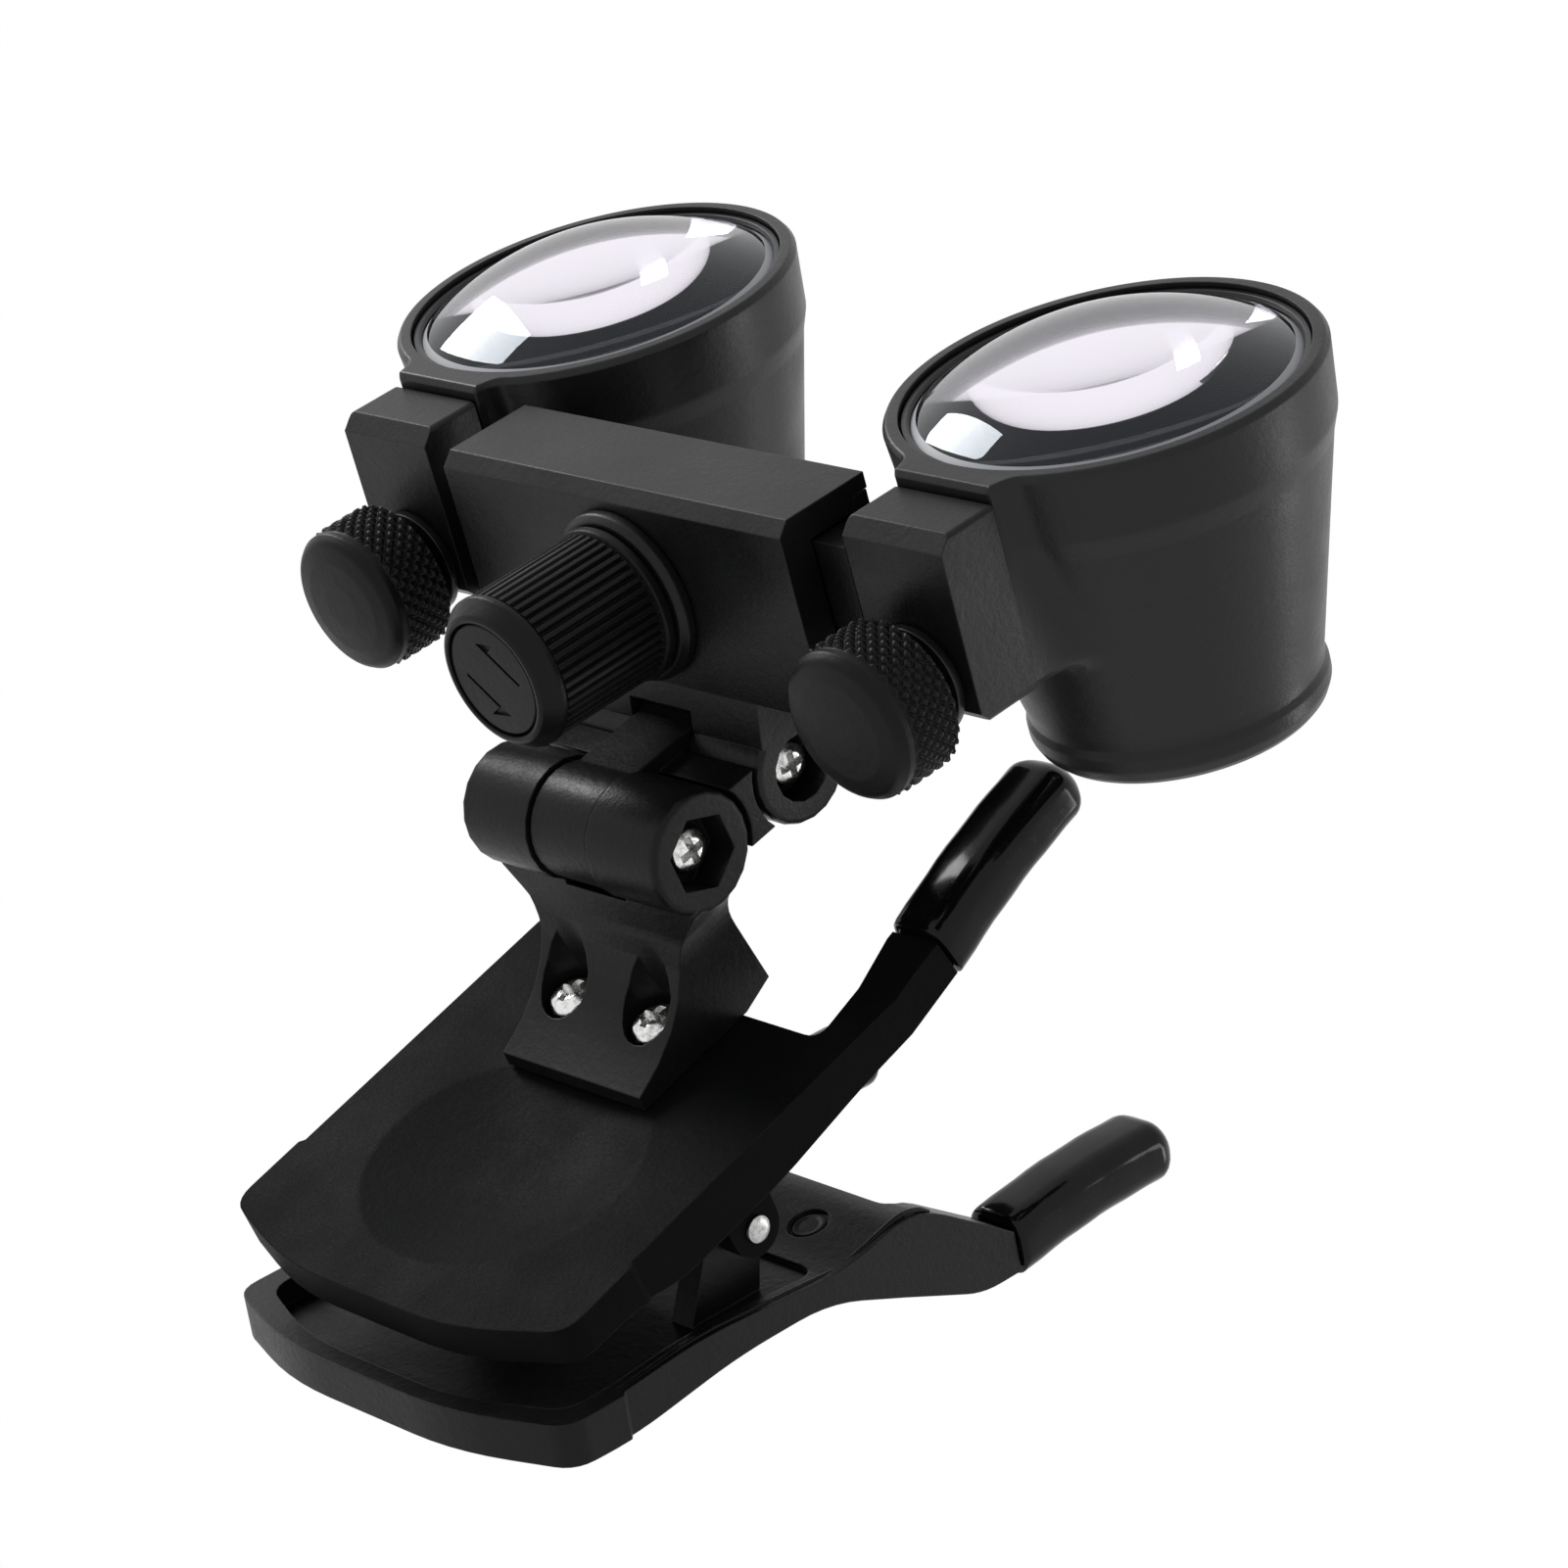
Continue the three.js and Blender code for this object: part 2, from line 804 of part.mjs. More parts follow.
function rearSideProfile() {
  const lean = radians(rearJaw.sleeveLean);
  const half = jaw.armDepth / 2;
  const [, y, z] = rearArmCentre();
  const tail = rearJaw.tailEdge + jaw.tailBulge + overrun;
  const round = rearJaw.floor * 2;
  return outline([
    [rearJaw.ridgeAtTail, tail],
    [rearJaw.backAtTip, tail],
    [rearJaw.backAtTail, rearJaw.tailBendStart, round],
    [rearJaw.backAtPivot, rearJaw.pivotFlat / 2, round],
    [rearJaw.backAtPivot, rearJaw.backBendStart, round],
    [rearJaw.backAtFork, rearJaw.forkEdge + half, round],
    [y - half, rearJaw.wristHeight, round],
    [y - half * Math.cos(lean), z - half * Math.sin(lean)],
    [y + half * Math.cos(lean), z + half * Math.sin(lean)],
    [rearJaw.crestForward, rearJaw.crestHeight, rearJaw.crestRound],
    [rearJaw.dipForward, rearJaw.dipHeight, round],
    [rearJaw.ridgeAtPivot, rearJaw.lugToe, round],
    [rearJaw.ridgeAtPivot, rearJaw.pivotFlat, round],
    [rearJaw.ridgeAtTail, rearJaw.tailBendStart, 0],
  ]);
}

function rearPocketProfile() {
  const front = rearJaw.ridgeAtPivot + 2 * rearJaw.floor;
  const tail = rearJaw.tailEdge + jaw.tailBulge;
  return outline([
    [front, tail],
    [rearJaw.backAtTip + rearJaw.floor, tail],
    [rearJaw.backAtTail + rearJaw.floor, rearJaw.tailBendStart],
    [rearJaw.backAtPivot + rearJaw.floor, rearJaw.pivotFlat / 2],
    [rearJaw.backAtPivot + rearJaw.floor, rearJaw.pocketEnd],
    [front, rearJaw.pocketEnd],
  ]);
}

function rearLug(sign) {
  const floor = rearJaw.backAtPivot + rearJaw.floor / 2;
  const shape = outline([
    [0, -rearJaw.lugRadius],
    [0, rearJaw.lugRadius],
    [floor, rearJaw.lugToe],
    [floor, rearJaw.lugHeel],
  ]);
  const [near, far] = lugSpan(sign, rearLugFaces());
  const web = toSolid(prismX(shape, near, far));
  return join(web, rodX(rearJaw.lugRadius, near, far, 0, 0, eyeSides));
}

function rearClipPlate() {
  const armEnd = rearJaw.sleeveStart - sleeve.depth;
  const shape = jawOutline(rearJaw.forkEdge, rearJaw.tailEdge, armEnd, rearJaw.tailBendStart);
  const faces = toSolid(prismY(shape, 2 * rearJaw.armCentre, 0));
  const side = toSolid(prismX(rearSideProfile(), -jaw.halfWidth - overrun, jaw.halfWidth + overrun));
  const pocketFace = toSolid(prismY(
    pocketOutline(rearJaw.pocketEnd, rearJaw.tailEdge), 2 * rearJaw.armCentre, overrun));
  const pocketSide = toSolid(prismX(rearPocketProfile(), -jaw.halfWidth, jaw.halfWidth));
  let plate = cut(faces.intersect(side), pocketFace.intersect(pocketSide));
  for (const sign of [-1, 1]) {
    const [x, y, z] = rearArmCentre();
    const tongue = armTongue().rotateX(radians(rearJaw.sleeveLean)).translate(sign * x, y, z);
    const mark = moved(
      toSolid(toGeometry(rodY(rearJaw.markRadius, -rearJaw.markDepth, overrun, 0, 0, eyeSides))
        .rotateX(radians(rearJaw.markLean))),
      sign * rearJaw.markAcross, rearJaw.markForward, rearJaw.markHeight);
    plate = cut(join(plate, toSolid(tongue), rearLug(sign)), mark);
  }
  return cut(plate, pinBore(0, 0));
}

// Hinge bracket on the front plate

function bracketSide() {
  const y = bracket.hingeForward;
  const z = bracket.hingeHeight;
  const radius = hinge.bracketRadius;
  const foot = seatGap / 2;
  const throat = radians(bracket.throatAngle);
  const chin = radians(bracket.chinAngle);
  const scoop = bend(
    [y + radius * Math.cos(throat), z + radius * Math.sin(throat)],
    [bracket.scoopForward, bracket.scoopHeight],
    [bracket.toeHeight, bracket.toeTop],
    bracket.scoopSteps,
  );
  return outline([
    [foot, -seatGap],
    [bracket.footRise, bracket.footLow],
    [bracket.chinForward, bracket.chinHeight, bracket.edgeRound],
    [y + radius * Math.cos(chin), z + radius * Math.sin(chin)],
    [y, z],
    ...scoop,
    [foot, bracket.toeTop],
  ]);
}

function bracketPlan() {
  const far = bracket.hingeForward + 2 * hinge.bracketRadius;
  const turn = (bracket.flareStart + bracket.flareEnd) / 2;
  return mirrored([
    [bracket.halfWidth, 0, 0],
    [bracket.halfWidth, turn, turn - bracket.flareStart],
    [hinge.halfLength, bracket.flareEnd, hinge.sideGap],
    [hinge.halfLength, far, 0],
  ]);
}

function hingeBracket() {
  const y = bracket.hingeForward;
  const z = bracket.hingeHeight;
  const body = toSolid(prismX(bracketSide(), -hinge.halfLength, hinge.halfLength));
  const plan = toSolid(prismZ(bracketPlan(), -2 * hinge.halfLength, 2 * hinge.halfLength));
  const ears = hingeEars(hinge.bracketRadius, y, z);
  const slotHalf = hinge.knuckleHalf + hinge.sideGap;
  const slotRadius = hinge.bracketRadius + runningGap;
  const slot = join(
    rodX(slotRadius, -slotHalf, slotHalf, y, z, roundSides),
    block([-slotHalf, slotHalf], [y, y + 2 * slotRadius], [z - 2 * slotRadius, z + 2 * slotRadius]),
  );
  let whole = cut(join(body.intersect(plan), ears), slot);
  whole = cut(whole, hingeBores(y, z, true));
  for (const sign of [-1, 1]) {
    const x = sign * bracket.screwAcross;
    const recess = rodY(bracket.recessRadius, bracket.recessFloor, bracket.recessReach, x,
      bracket.screwHeight, eyeSides);
    const hole = rodY(bracket.screwRadius + hinge.boreGap, -overrun, y, x, bracket.screwHeight);
    whole = cut(whole, recess, hole);
  }
  return whole;
}

// The round ends of a hinge, before the slot that parts them is cut.
function hingeEars(radius, y = 0, z = 0) {
  const circle = ringOutline(radius, y, z);
  return toSolid(prismX(circle, -hinge.halfLength, hinge.halfLength, hinge.endRound, eyeSides / 2));
}

// The through bore and the two end pockets of a hinge's ears. The nut's pocket is on the left.
function hingeBores(y, z, hexagonal) {
  const floor = hinge.halfLength - hinge.pocketDepth;
  const end = hinge.halfLength + overrun;
  const bore = rodX(hinge.screwRadius + hinge.boreGap, -end, end, y, z);
  const nutPocket = hexPocket(-end, -floor, y, z);
  const headPocket = hexagonal
    ? hexPocket(floor, end, y, z)
    : rodX(hinge.roundPocketRadius, floor, end, y, z);
  return join(bore, nutPocket, headPocket);
}

function hexPocket(from, to, y, z) {
  return toSolid(prismX(polygonOutline(hinge.hexPocketRadius, hexSides), from, to).translate(0, y, z));
}

function hingeScrew() {
  const seat = hinge.halfLength - hinge.screwHeadSink - hinge.screwHeadLength;
  const tail = hinge.halfLength - hinge.screwTail;
  const round = hinge.screwHeadLength / 3;
  const top = seat + hinge.screwHeadLength;
  const headTurned = turnedZ([
    [0, seat],
    [hinge.screwHeadRadius, seat],
    [hinge.screwHeadRadius, top - round],
    [hinge.screwHeadRadius - round, top],
    [0, top],
  ], smallSides);
  const headPiece = toSolid(toGeometry(headTurned).rotateY(Math.PI / 2));
  return join(headPiece, rodX(hinge.screwRadius, -tail, seat + round));
}

function hingeNut() {
  const inner = -(hinge.halfLength - hinge.pocketDepth) - hinge.sideGap;
  const body = hexagonX(hinge.nutAcrossFlats, inner - hinge.nutThickness, inner);
  return cut(body, rodX(hinge.screwRadius + hinge.boreGap, -2 * hinge.halfLength, 0));
}

function bracketScrew() {
  const seat = bracket.recessFloor + seatGap;
  const top = seat + bracket.screwHeadLength;
  const round = bracket.screwHeadLength / 2;
  return turnedY([
    [0, seat - bracket.screwLength],
    [bracket.screwRadius, seat - bracket.screwLength],
    [bracket.screwRadius, seat],
    [bracket.screwHeadRadius, seat],
    [bracket.screwHeadRadius, top - round],
    [bracket.screwHeadRadius - round, top],
    [0, top],
  ], smallSides);
}

// Link between the two hinges, in its own frame: the lower hinge is the origin and the
// upper hinge lies below it.

function linkArm() {
  const half = hinge.knuckleHalf;
  const far = -link.length;
  const wingHalf = hinge.halfLength - link.wingInset;
  const knuckles = join(
    rodX(hinge.bracketRadius - hinge.sideGap, -half, half, 0, 0, roundSides),
    rodX(hinge.headRadius, -half, half, 0, far, roundSides),
    block([-half, half], [-link.neckHalf, link.neckHalf], [far, 0]),
  );
  const wing = toSolid(prismX(outline([
    [-link.waistHalf, 0],
    [link.waistHalf, 0],
    [link.waistHalf, far],
    [-link.waistHalf, far],
  ]), -wingHalf, wingHalf));
  const waist = cut(
    wing,
    rodX(hinge.bracketRadius + link.wingGap, -hinge.halfLength, hinge.halfLength, 0, 0, roundSides),
    rodX(hinge.headRadius + link.wingGap, -hinge.halfLength, hinge.halfLength, 0, far, roundSides),
  );
  const radius = hinge.screwRadius + hinge.boreGap;
  const reach = half + overrun;
  return cut(
    join(knuckles, waist),
    rodX(radius, -reach, reach),
    rodX(radius, -reach, reach, 0, far),
  );
}

// Head, in its own frame

function housingHalf() {
  return sliderInner() - housing.endGap;
}

function housingSide() {
  return outline([
    [housing.top, housing.back],
    [housing.top, housing.front - housing.topBevel],
    [housing.top - housing.topBevel, housing.front],
    [housing.bottom, housing.front],
    [housing.bottom, housing.back],
  ]);
}

function housingFace() {
  const ear = hinge.halfLength;
  return mirrored([
    [housingHalf(), housing.top, 0],
    [housingHalf(), housing.bottom + housing.cornerCut, 0],
    [housingHalf() - housing.cornerCut, housing.bottom, 0],
    [ear, housing.bottom, housing.bottomBevel],
    [ear, 0, 0],
  ].reverse());
}

function cavity() {
  return block(
    [-2 * housingHalf(), 2 * housingHalf()],
    [housing.bottom + housing.floor, housing.top - housing.roof],
    [housing.back - overrun, housing.front - housing.frontWall],
  );
}

function coverOutline(gap) {
  const half = housingHalf() + (gap > 0 ? -gap : overrun);
  const low = housing.coverLow + gap;
  const top = housing.top - housing.coverRebate - gap;
  const ear = hinge.halfLength - housing.coverRebate - gap;
  const step = housing.bottom + gap;
  return mirrored([
    [half, top, 0],
    [half, step + housing.cornerCut, 0],
    [housingHalf() - housing.cornerCut, step, 0],
    [ear, step, 0],
    [ear, low, 0],
  ].reverse());
}

function housingBody() {
  const side = toSolid(prismX(housingSide(), -housingHalf(), housingHalf()));
  const lugSide = toSolid(prismX(outline([
    [0, -hinge.headRadius],
    [0, 0],
    [hinge.headRadius * Math.SQRT1_2, hinge.headRadius * Math.SQRT1_2],
    [housing.bottom, housing.lugFront],
    [housing.bottom + overrun, housing.lugFront],
    [housing.bottom + overrun, housing.back],
    [housing.coverLow - overrun, housing.back, housing.earFillet],
  ]), -hinge.halfLength, hinge.halfLength));
  const face = toSolid(prismZ(housingFace(), 3 * housing.back, 3 * housing.front + hinge.headRadius));
  const ears = hingeEars(hinge.headRadius);
  const slotHalf = hinge.knuckleHalf + hinge.sideGap;
  const slotRadius = hinge.headRadius + runningGap;
  const slot = join(
    rodX(slotRadius, -slotHalf, slotHalf, 0, 0, roundSides),
    block([-slotHalf, slotHalf], [-2 * slotRadius, 0], [-2 * slotRadius, 2 * slotRadius]),
    block([-slotHalf, slotHalf], [-slotRadius, slotRadius], [0, 3 * slotRadius]),
  );
  const rebateFloor = housing.back + housing.coverThickness;
  const rebate = toSolid(prismZ(coverOutline(0), housing.back - overrun, rebateFloor));
  let body = join(side.intersect(face), lugSide.intersect(face), ears);
  body = cut(body, cavity(), slot, rebate, hingeBores(0, 0, false));
  body = cut(body, rodZ(knob.bushRadius + knob.shaftGap, -overrun * 2, 2 * housing.front, 0, knob.height));
  for (const sign of [-1, 1]) {
    const radius = housing.coverScrewRadius + hinge.boreGap;
    const end = housing.back + housing.coverScrewLength + seatGap;
    body = cut(body, rodZ(radius, 2 * housing.back, end,
      sign * housing.coverScrewAcross, housing.coverScrewHeight));
  }
  return body;
}

function housingCover() {
  const inner = housing.back + housing.coverThickness - seatGap / 2;
  let plate = toSolid(prismZ(coverOutline(seatGap / 2), housing.back, inner));
  for (const sign of [-1, 1]) {
    const x = sign * housing.coverScrewAcross;
    const y = housing.coverScrewHeight;
    plate = cut(
      plate,
      rodZ(housing.coverScrewRadius + hinge.boreGap, 2 * housing.back, 0, x, y),
      rodZ(housing.coverScrewHeadRadius + hinge.boreGap, 2 * housing.back,
        housing.back + housing.coverScrewHeadLength, x, y),
    );
  }
  return plate;
}

function coverScrew() {
  const top = housing.coverScrewHeadLength - seatGap / 2;
  return turnedZ([
    [0, 0],
    [housing.coverScrewHeadRadius, 0],
    [housing.coverScrewHeadRadius, top],
    [housing.coverScrewRadius, top],
    [housing.coverScrewRadius, housing.coverScrewLength],
    [0, housing.coverScrewLength],
  ], smallSides);
}

// Rack and pinion that spreads the two sliders by equal amounts

function pitchRadius() {
  return (gear.module * gear.teeth) / 2;
}

function rackPitch() {
  return Math.PI * gear.module;
}

// Half the angle of one pinion tooth at a radius, from the involute of the base circle.
function toothHalfAngle(radius) {
  const pressure = radians(gear.pressureAngle);
  const base = pitchRadius() * Math.cos(pressure);
  const involute = (angle) => Math.tan(angle) - angle;
  const atPitch = (rackPitch() - gear.backlash) / 4 / pitchRadius();
  if (radius <= base) return atPitch + involute(pressure);
  return atPitch + involute(pressure) - involute(Math.acos(base / radius));
}

function pinionOutline() {
  const root = pitchRadius() - gear.module * gear.dedendumShare;
  const tip = pitchRadius() + gear.module * gear.addendumShare;
  const corners = [];
  for (let tooth = 0; tooth < gear.teeth; tooth += 1) {
    const middle = Math.PI / 2 + (2 * Math.PI * tooth) / gear.teeth;
    const flank = [];
    for (let step = 0; step <= gear.flankSteps; step += 1) {
      const radius = root + ((tip - root) * step) / gear.flankSteps;
      flank.push([radius, toothHalfAngle(radius)]);
    }
    const rising = flank.map(([radius, half]) => [radius, middle - half]);
    const falling = flank.map(([radius, half]) => [radius, middle + half]).reverse();
    for (const [radius, angle] of [...rising, ...falling]) {
      corners.push([radius * Math.cos(angle), radius * Math.sin(angle)]);
    }
  }
  return outline(corners);
}

// The rack's outline [along, up] with its pitch line at up = 0 and its teeth pointing down.
// Its gaps lie at whole pitches, where the pinion's tooth stands.
function rackOutline(from, to) {
  const slope = Math.tan(radians(gear.pressureAngle));
  const addendum = gear.module * gear.addendumShare;
  const dedendum = gear.module * gear.dedendumShare;
  const half = (rackPitch() - gear.backlash) / 4;
  const corners = [[from, slider.rackHeight], [from, dedendum]];
  const first = Math.ceil(from / rackPitch());
  const last = Math.floor(to / rackPitch()) - 1;
  for (let tooth = first; tooth <= last; tooth += 1) {
    const middle = (tooth + 0.5) * rackPitch();
    corners.push([middle - half - slope * dedendum, dedendum]);
    corners.push([middle - half + slope * addendum, -addendum]);
    corners.push([middle + half - slope * addendum, -addendum]);
    corners.push([middle + half + slope * dedendum, dedendum]);
  }
  corners.push([to, dedendum], [to, slider.rackHeight]);
  return outline(corners.reverse());
}

function pinionShaft() {
  const low = slider.neckBack;
  const high = slider.rackFront;
  const teeth = toSolid(prismZ(pinionOutline(), low, high));
  const shaft = rodZ(knob.shaftRadius, low, knob.boreEnd - seatGap);
  return join(teeth, shaft);
}

function pinionWasher() {
  const high = housing.front - housing.frontWall - seatGap / 2;
  const low = high - knob.washerThickness;
  return cut(
    rodZ(knob.washerRadius, low, high, 0, 0, eyeSides),
    rodZ(knob.shaftRadius + knob.shaftGap, -2 * housing.front, 2 * housing.front),
  );
}

function knobBush() {
  const seat = housing.front + seatGap / 2;
  const top = seat + knob.collarHeight;
  const inner = knob.shaftRadius + knob.shaftGap;
  return turnedZ([
    [inner, housing.front - housing.frontWall + seatGap],
    [knob.bushRadius, housing.front - housing.frontWall + seatGap],
    [knob.bushRadius, seat],
    [knob.collarRadius, seat],
    [knob.collarRadius, top - knob.collarRound],
    [knob.collarRadius - knob.collarRound, top],
    [inner, top],
    [inner, housing.front - housing.frontWall + seatGap],
  ]);
}

function ribbedOutline() {
  const corners = [];
  const crest = knob.ribRadius;
  const valley = crest - knob.ribDepth;
  for (let rib = 0; rib < knob.ribs; rib += 1) {
    const section = [[0, valley], [knob.crestStartShare, crest], [knob.crestEndShare, crest]];
    for (const [share, radius] of section) {
      const angle = (2 * Math.PI * (rib + share)) / knob.ribs;
      corners.push([radius * Math.cos(angle), radius * Math.sin(angle)]);
    }
  }
  return outline(corners);
}

function centreKnob() {
  const base = housing.front + seatGap / 2 + knob.collarHeight + seatGap;
  const ribStart = base + knob.skirtHeight;
  const ribs = toSolid(prismZ(ribbedOutline(), base, knob.ribTop));
  const skirt = rodZ(knob.skirtRadius, base, ribStart, 0, 0, roundSides);
  const tip = turnedZ([
    [0, knob.ribTop - overrun],
    [knob.ribRadius - knob.ribDepth, knob.ribTop - overrun],
    [knob.shoulderRadius, knob.ribTop],
    [knob.shoulderRadius, knob.ribTop + knob.collarRound],
    [knob.tipRadius, knob.tip],
    [0, knob.tip],
  ]);
  const floor = knob.tip - knob.capThickness - knob.capSink;
  return cut(
    join(ribs, skirt, tip),
    rodZ(knob.shaftRadius + knob.shaftGap, 0, knob.boreEnd),
    rodZ(knob.capRadius, floor, 2 * knob.tip, 0, 0, roundSides),
  );
}

function knobCap() {
  const top = knob.tip - knob.capSink;
  const radius = knob.capRadius - knob.shaftGap;
  return rodZ(radius, top - knob.capThickness + knob.shaftGap, top, 0, 0, roundSides);
}

// The faces of a slider's block that look toward and away from the middle of the head.
function sliderInner() {
  return barrelSpacing / 2 - slider.inboard;
}

function sliderOuter() {
  return barrelSpacing / 2 + slider.outboard;
}

// Slider: block, neck and rack. The right one's rack lies above the pinion; the left one is
// the same piece turned half round, so that its rack lies below.
function sliderBlock() {
  const face = outline([
    [sliderInner(), slider.bottom, slider.sideBevel],
    [sliderOuter(), slider.bottom, slider.topBevel],
    [sliderOuter(), slider.top, slider.sideBevel],
    [sliderInner(), slider.top, slider.sideBevel],
  ]);
  const side = outline([
    [slider.bottom, slider.back],
    [slider.top, slider.back],
    [slider.top, slider.front - slider.topBevel],
    [slider.top - slider.topBevel, slider.front],
    [slider.bottom + slider.topBevel, slider.front],
    [slider.bottom, slider.front - slider.topBevel],
  ]);
  const upright = toSolid(prismZ(face, slider.back, slider.front, 0, 3));
  return upright.intersect(toSolid(prismX(side, sliderInner() - overrun, sliderOuter() + overrun)));
}

function sliderRack(above) {
  const shape = rackOutline(-slider.rackReach, slider.neckReach + overrun);
  const bar = toSolid(prismZ(shape, slider.neckBack, slider.rackFront));
  const geometry = toGeometry(bar);
  if (above > 0) return toSolid(geometry.translate(0, knob.height + pitchRadius(), 0));
  return toSolid(geometry.rotateZ(Math.PI).translate(0, knob.height - pitchRadius(), 0));
}

function sliderNeck(above) {
  const middle = knob.height + above * (pitchRadius() + slider.rackHeight - slider.neckHalfHeight);
  const y = [middle - slider.neckHalfHeight, middle + slider.neckHalfHeight];
  const z = [slider.neckBack, slider.neckFront];
  const bar = block([slider.neckReach, sliderInner() + overrun], y, z);
  const groove = block(
    [sliderInner() - slider.neckGroove, sliderInner()],
    [y[0] - overrun, y[1] + overrun],
    [slider.neckFront - slider.neckGrooveDepth, slider.neckFront + overrun],
  );
  return cut(bar, groove);
}

function sliderPiece(sign) {
  const blockSolid = sign > 0 ? sliderBlock() : mirrorX(sliderBlock());
  const neck = sign > 0 ? sliderNeck(sign) : mirrorX(sliderNeck(sign));
  const x = (sign * barrelSpacing) / 2;
  const hole = rodZ(slider.screwHoleRadius, 2 * slider.back, 2 * housing.front, x, thumb.height);
  return cut(join(blockSolid, neck, sliderRack(sign)), hole);
}

// Thumb screw: crossed knurl under a plain dome

// A closed band on a grid of points. Every second inner point is a valley, and each facet
// pair folds between two valleys, so the peaks stand as crossed diamonds.
function knurledBand() {
  const rows = thumb.knurlsAlong * 2 + 1;
  const around = thumb.knurlsAround * 2;
  const rise = (thumb.knurlFront - thumb.knurlBack) / (rows - 1);
  const isPeak = (row, step) => row > 0 && row < rows - 1 && (row + step) % 2 === 1;
  const positions = [];
  for (let row = 0; row < rows; row += 1) {
    for (let step = 0; step < around; step += 1) {
      const radius = thumb.knurlRadius - (isPeak(row, step) ? 0 : thumb.knurlDepth);
      const angle = (2 * Math.PI * step) / around;
      positions.push(radius * Math.cos(angle), radius * Math.sin(angle), thumb.knurlBack + rise * row);
    }
  }
  const index = [];
  const at = (row, step) => row * around + (step % around);
  for (let row = 0; row < rows - 1; row += 1) {
    for (let step = 0; step < around; step += 1) {
      const [a, b] = [at(row, step), at(row, step + 1)];
      const [c, d] = [at(row + 1, step + 1), at(row + 1, step)];
      if ((row + step) % 2 === 0) index.push(a, b, c, a, c, d);
      else index.push(a, b, d, b, c, d);
    }
  }
  const [lowCentre, highCentre] = [rows * around, rows * around + 1];
  positions.push(0, 0, thumb.knurlBack, 0, 0, thumb.knurlFront);
  for (let step = 0; step < around; step += 1) {
    index.push(lowCentre, at(0, step + 1), at(0, step));
    index.push(highCentre, at(rows - 1, step), at(rows - 1, step + 1));
  }
  const geometry = new THREE.BufferGeometry();
  geometry.setAttribute('position', new THREE.Float32BufferAttribute(positions, 3));
  geometry.setIndex(index);
  return toSolid(geometry);
}

function thumbScrew() {
  const seat = slider.front + seatGap / 2 + thumb.washerThickness + seatGap;
  const base = thumb.knurlFront - overrun / 4;
  const dome = [[0, base], [thumb.domeRadius, base], [thumb.domeRadius, thumb.knurlFront + thumb.domeSeam]];
  const inner = thumb.domeRadius - thumb.domeRound;
  const crown = thumb.domeHeight - thumb.domeRound;
  for (let step = 1; step <= thumb.domeSteps; step += 1) {
    const angle = (step * Math.PI) / 2 / thumb.domeSteps;
    const radius = inner * Math.cos(angle) ** 0.5 + thumb.domeRound * Math.cos(angle);
    const height = thumb.domeSeam + (crown + thumb.domeRound) * Math.sin(angle);
    dome.push([step === thumb.domeSteps ? 0 : radius, thumb.knurlFront + height]);
  }
  const low = slider.back - thumb.shankReach;
  return join(
    knurledBand(),
    turnedZ(dome, thumb.knurlsAround),
    rodZ(thumb.hubRadius, seat, thumb.knurlBack + overrun, 0, 0, eyeSides),
    rodZ(thumb.shankRadius, low, seat + overrun),
  );
}

function thumbWasher() {
  const low = slider.front + seatGap / 2;
  return cut(
    rodZ(thumb.washerRadius, low, low + thumb.washerThickness, 0, 0, eyeSides),
    rodZ(slider.screwHoleRadius, 0, 2 * housing.front),
  );
}

// Barrel, in its own frame: the origin is the rim's centre and y points out of the rim

function barrelShell() {
  const end = -barrel.length;
  const outer = [
    [0, end],
    [barrel.endRadius - barrel.endRound, end],
    [barrel.endRadius, end + barrel.endRound],
    [barrel.lipRadius, end + barrel.lipStart / 3],
    [barrel.lipRadius, end + (2 * barrel.lipStart) / 3],
    [barrel.waistRadius, end + barrel.lipStart],
    [barrel.bandRadius - barrel.rimRound / 2, -barrel.bandLength - barrel.rimRound],
    [barrel.bandRadius, -barrel.bandLength],
    [barrel.rimRadius, -barrel.rimRound],
    [barrel.rimRadius - barrel.rimRound, 0],
    [0, 0],
  ];
  const bore = [
    [0, end - overrun],
    [barrel.eyeSeatRadius, end - overrun],
    [barrel.eyeSeatRadius, end + barrel.eyeSeatDepth],
    [barrel.eyeBoreRadius, end + barrel.eyeSeatDepth],
    [barrel.eyeBoreRadius, end + barrel.eyeSeatDepth + barrel.eyeFloor],
    [barrel.ledgeRadius, -barrel.lensSeatDepth - barrel.eyeFloor],
    [barrel.ledgeRadius, -barrel.lensSeatDepth],
    [barrel.lensSeatRadius, -barrel.lensSeatDepth],
    [barrel.lensSeatRadius, overrun],
    [0, overrun],
  ];
  const pad = toSolid(prismZ(outline([
    [-barrel.padHalfWidth, -barrel.padLength, barrel.padRound],
    [barrel.padHalfWidth, -barrel.padLength, barrel.padRound],
    [barrel.padHalfWidth, 0, 0],
    [-barrel.padHalfWidth, 0, 0],
  ]), barrel.endRadius, barrel.padProud, 0, 3));
  const screwHole = rodZ(barrel.screwHoleRadius, barrel.padProud - barrel.screwHoleDepth,
    barrel.padProud + overrun, 0, thumb.height - head.rimAhead);
  return cut(join(turnedY(outer, barrelSides), pad), turnedY(bore, barrelSides), screwHole);
}

function objectiveLens() {
  const seat = -objective.edgeDrop;
  const low = seat - objective.edgeThickness;
  const back = [];
  const front = [];
  for (let step = 0; step <= objective.crownSteps; step += 1) {
    const share = step / objective.crownSteps;
    const bulge = 1 - share * share;
    back.push([objective.radius * share, low - objective.backCrown * bulge]);
    front.push([objective.radius * (1 - share), seat + objective.crown * (1 - (1 - share) ** 2)]);
  }
  return turnedY([...back, ...front], barrelSides);
}

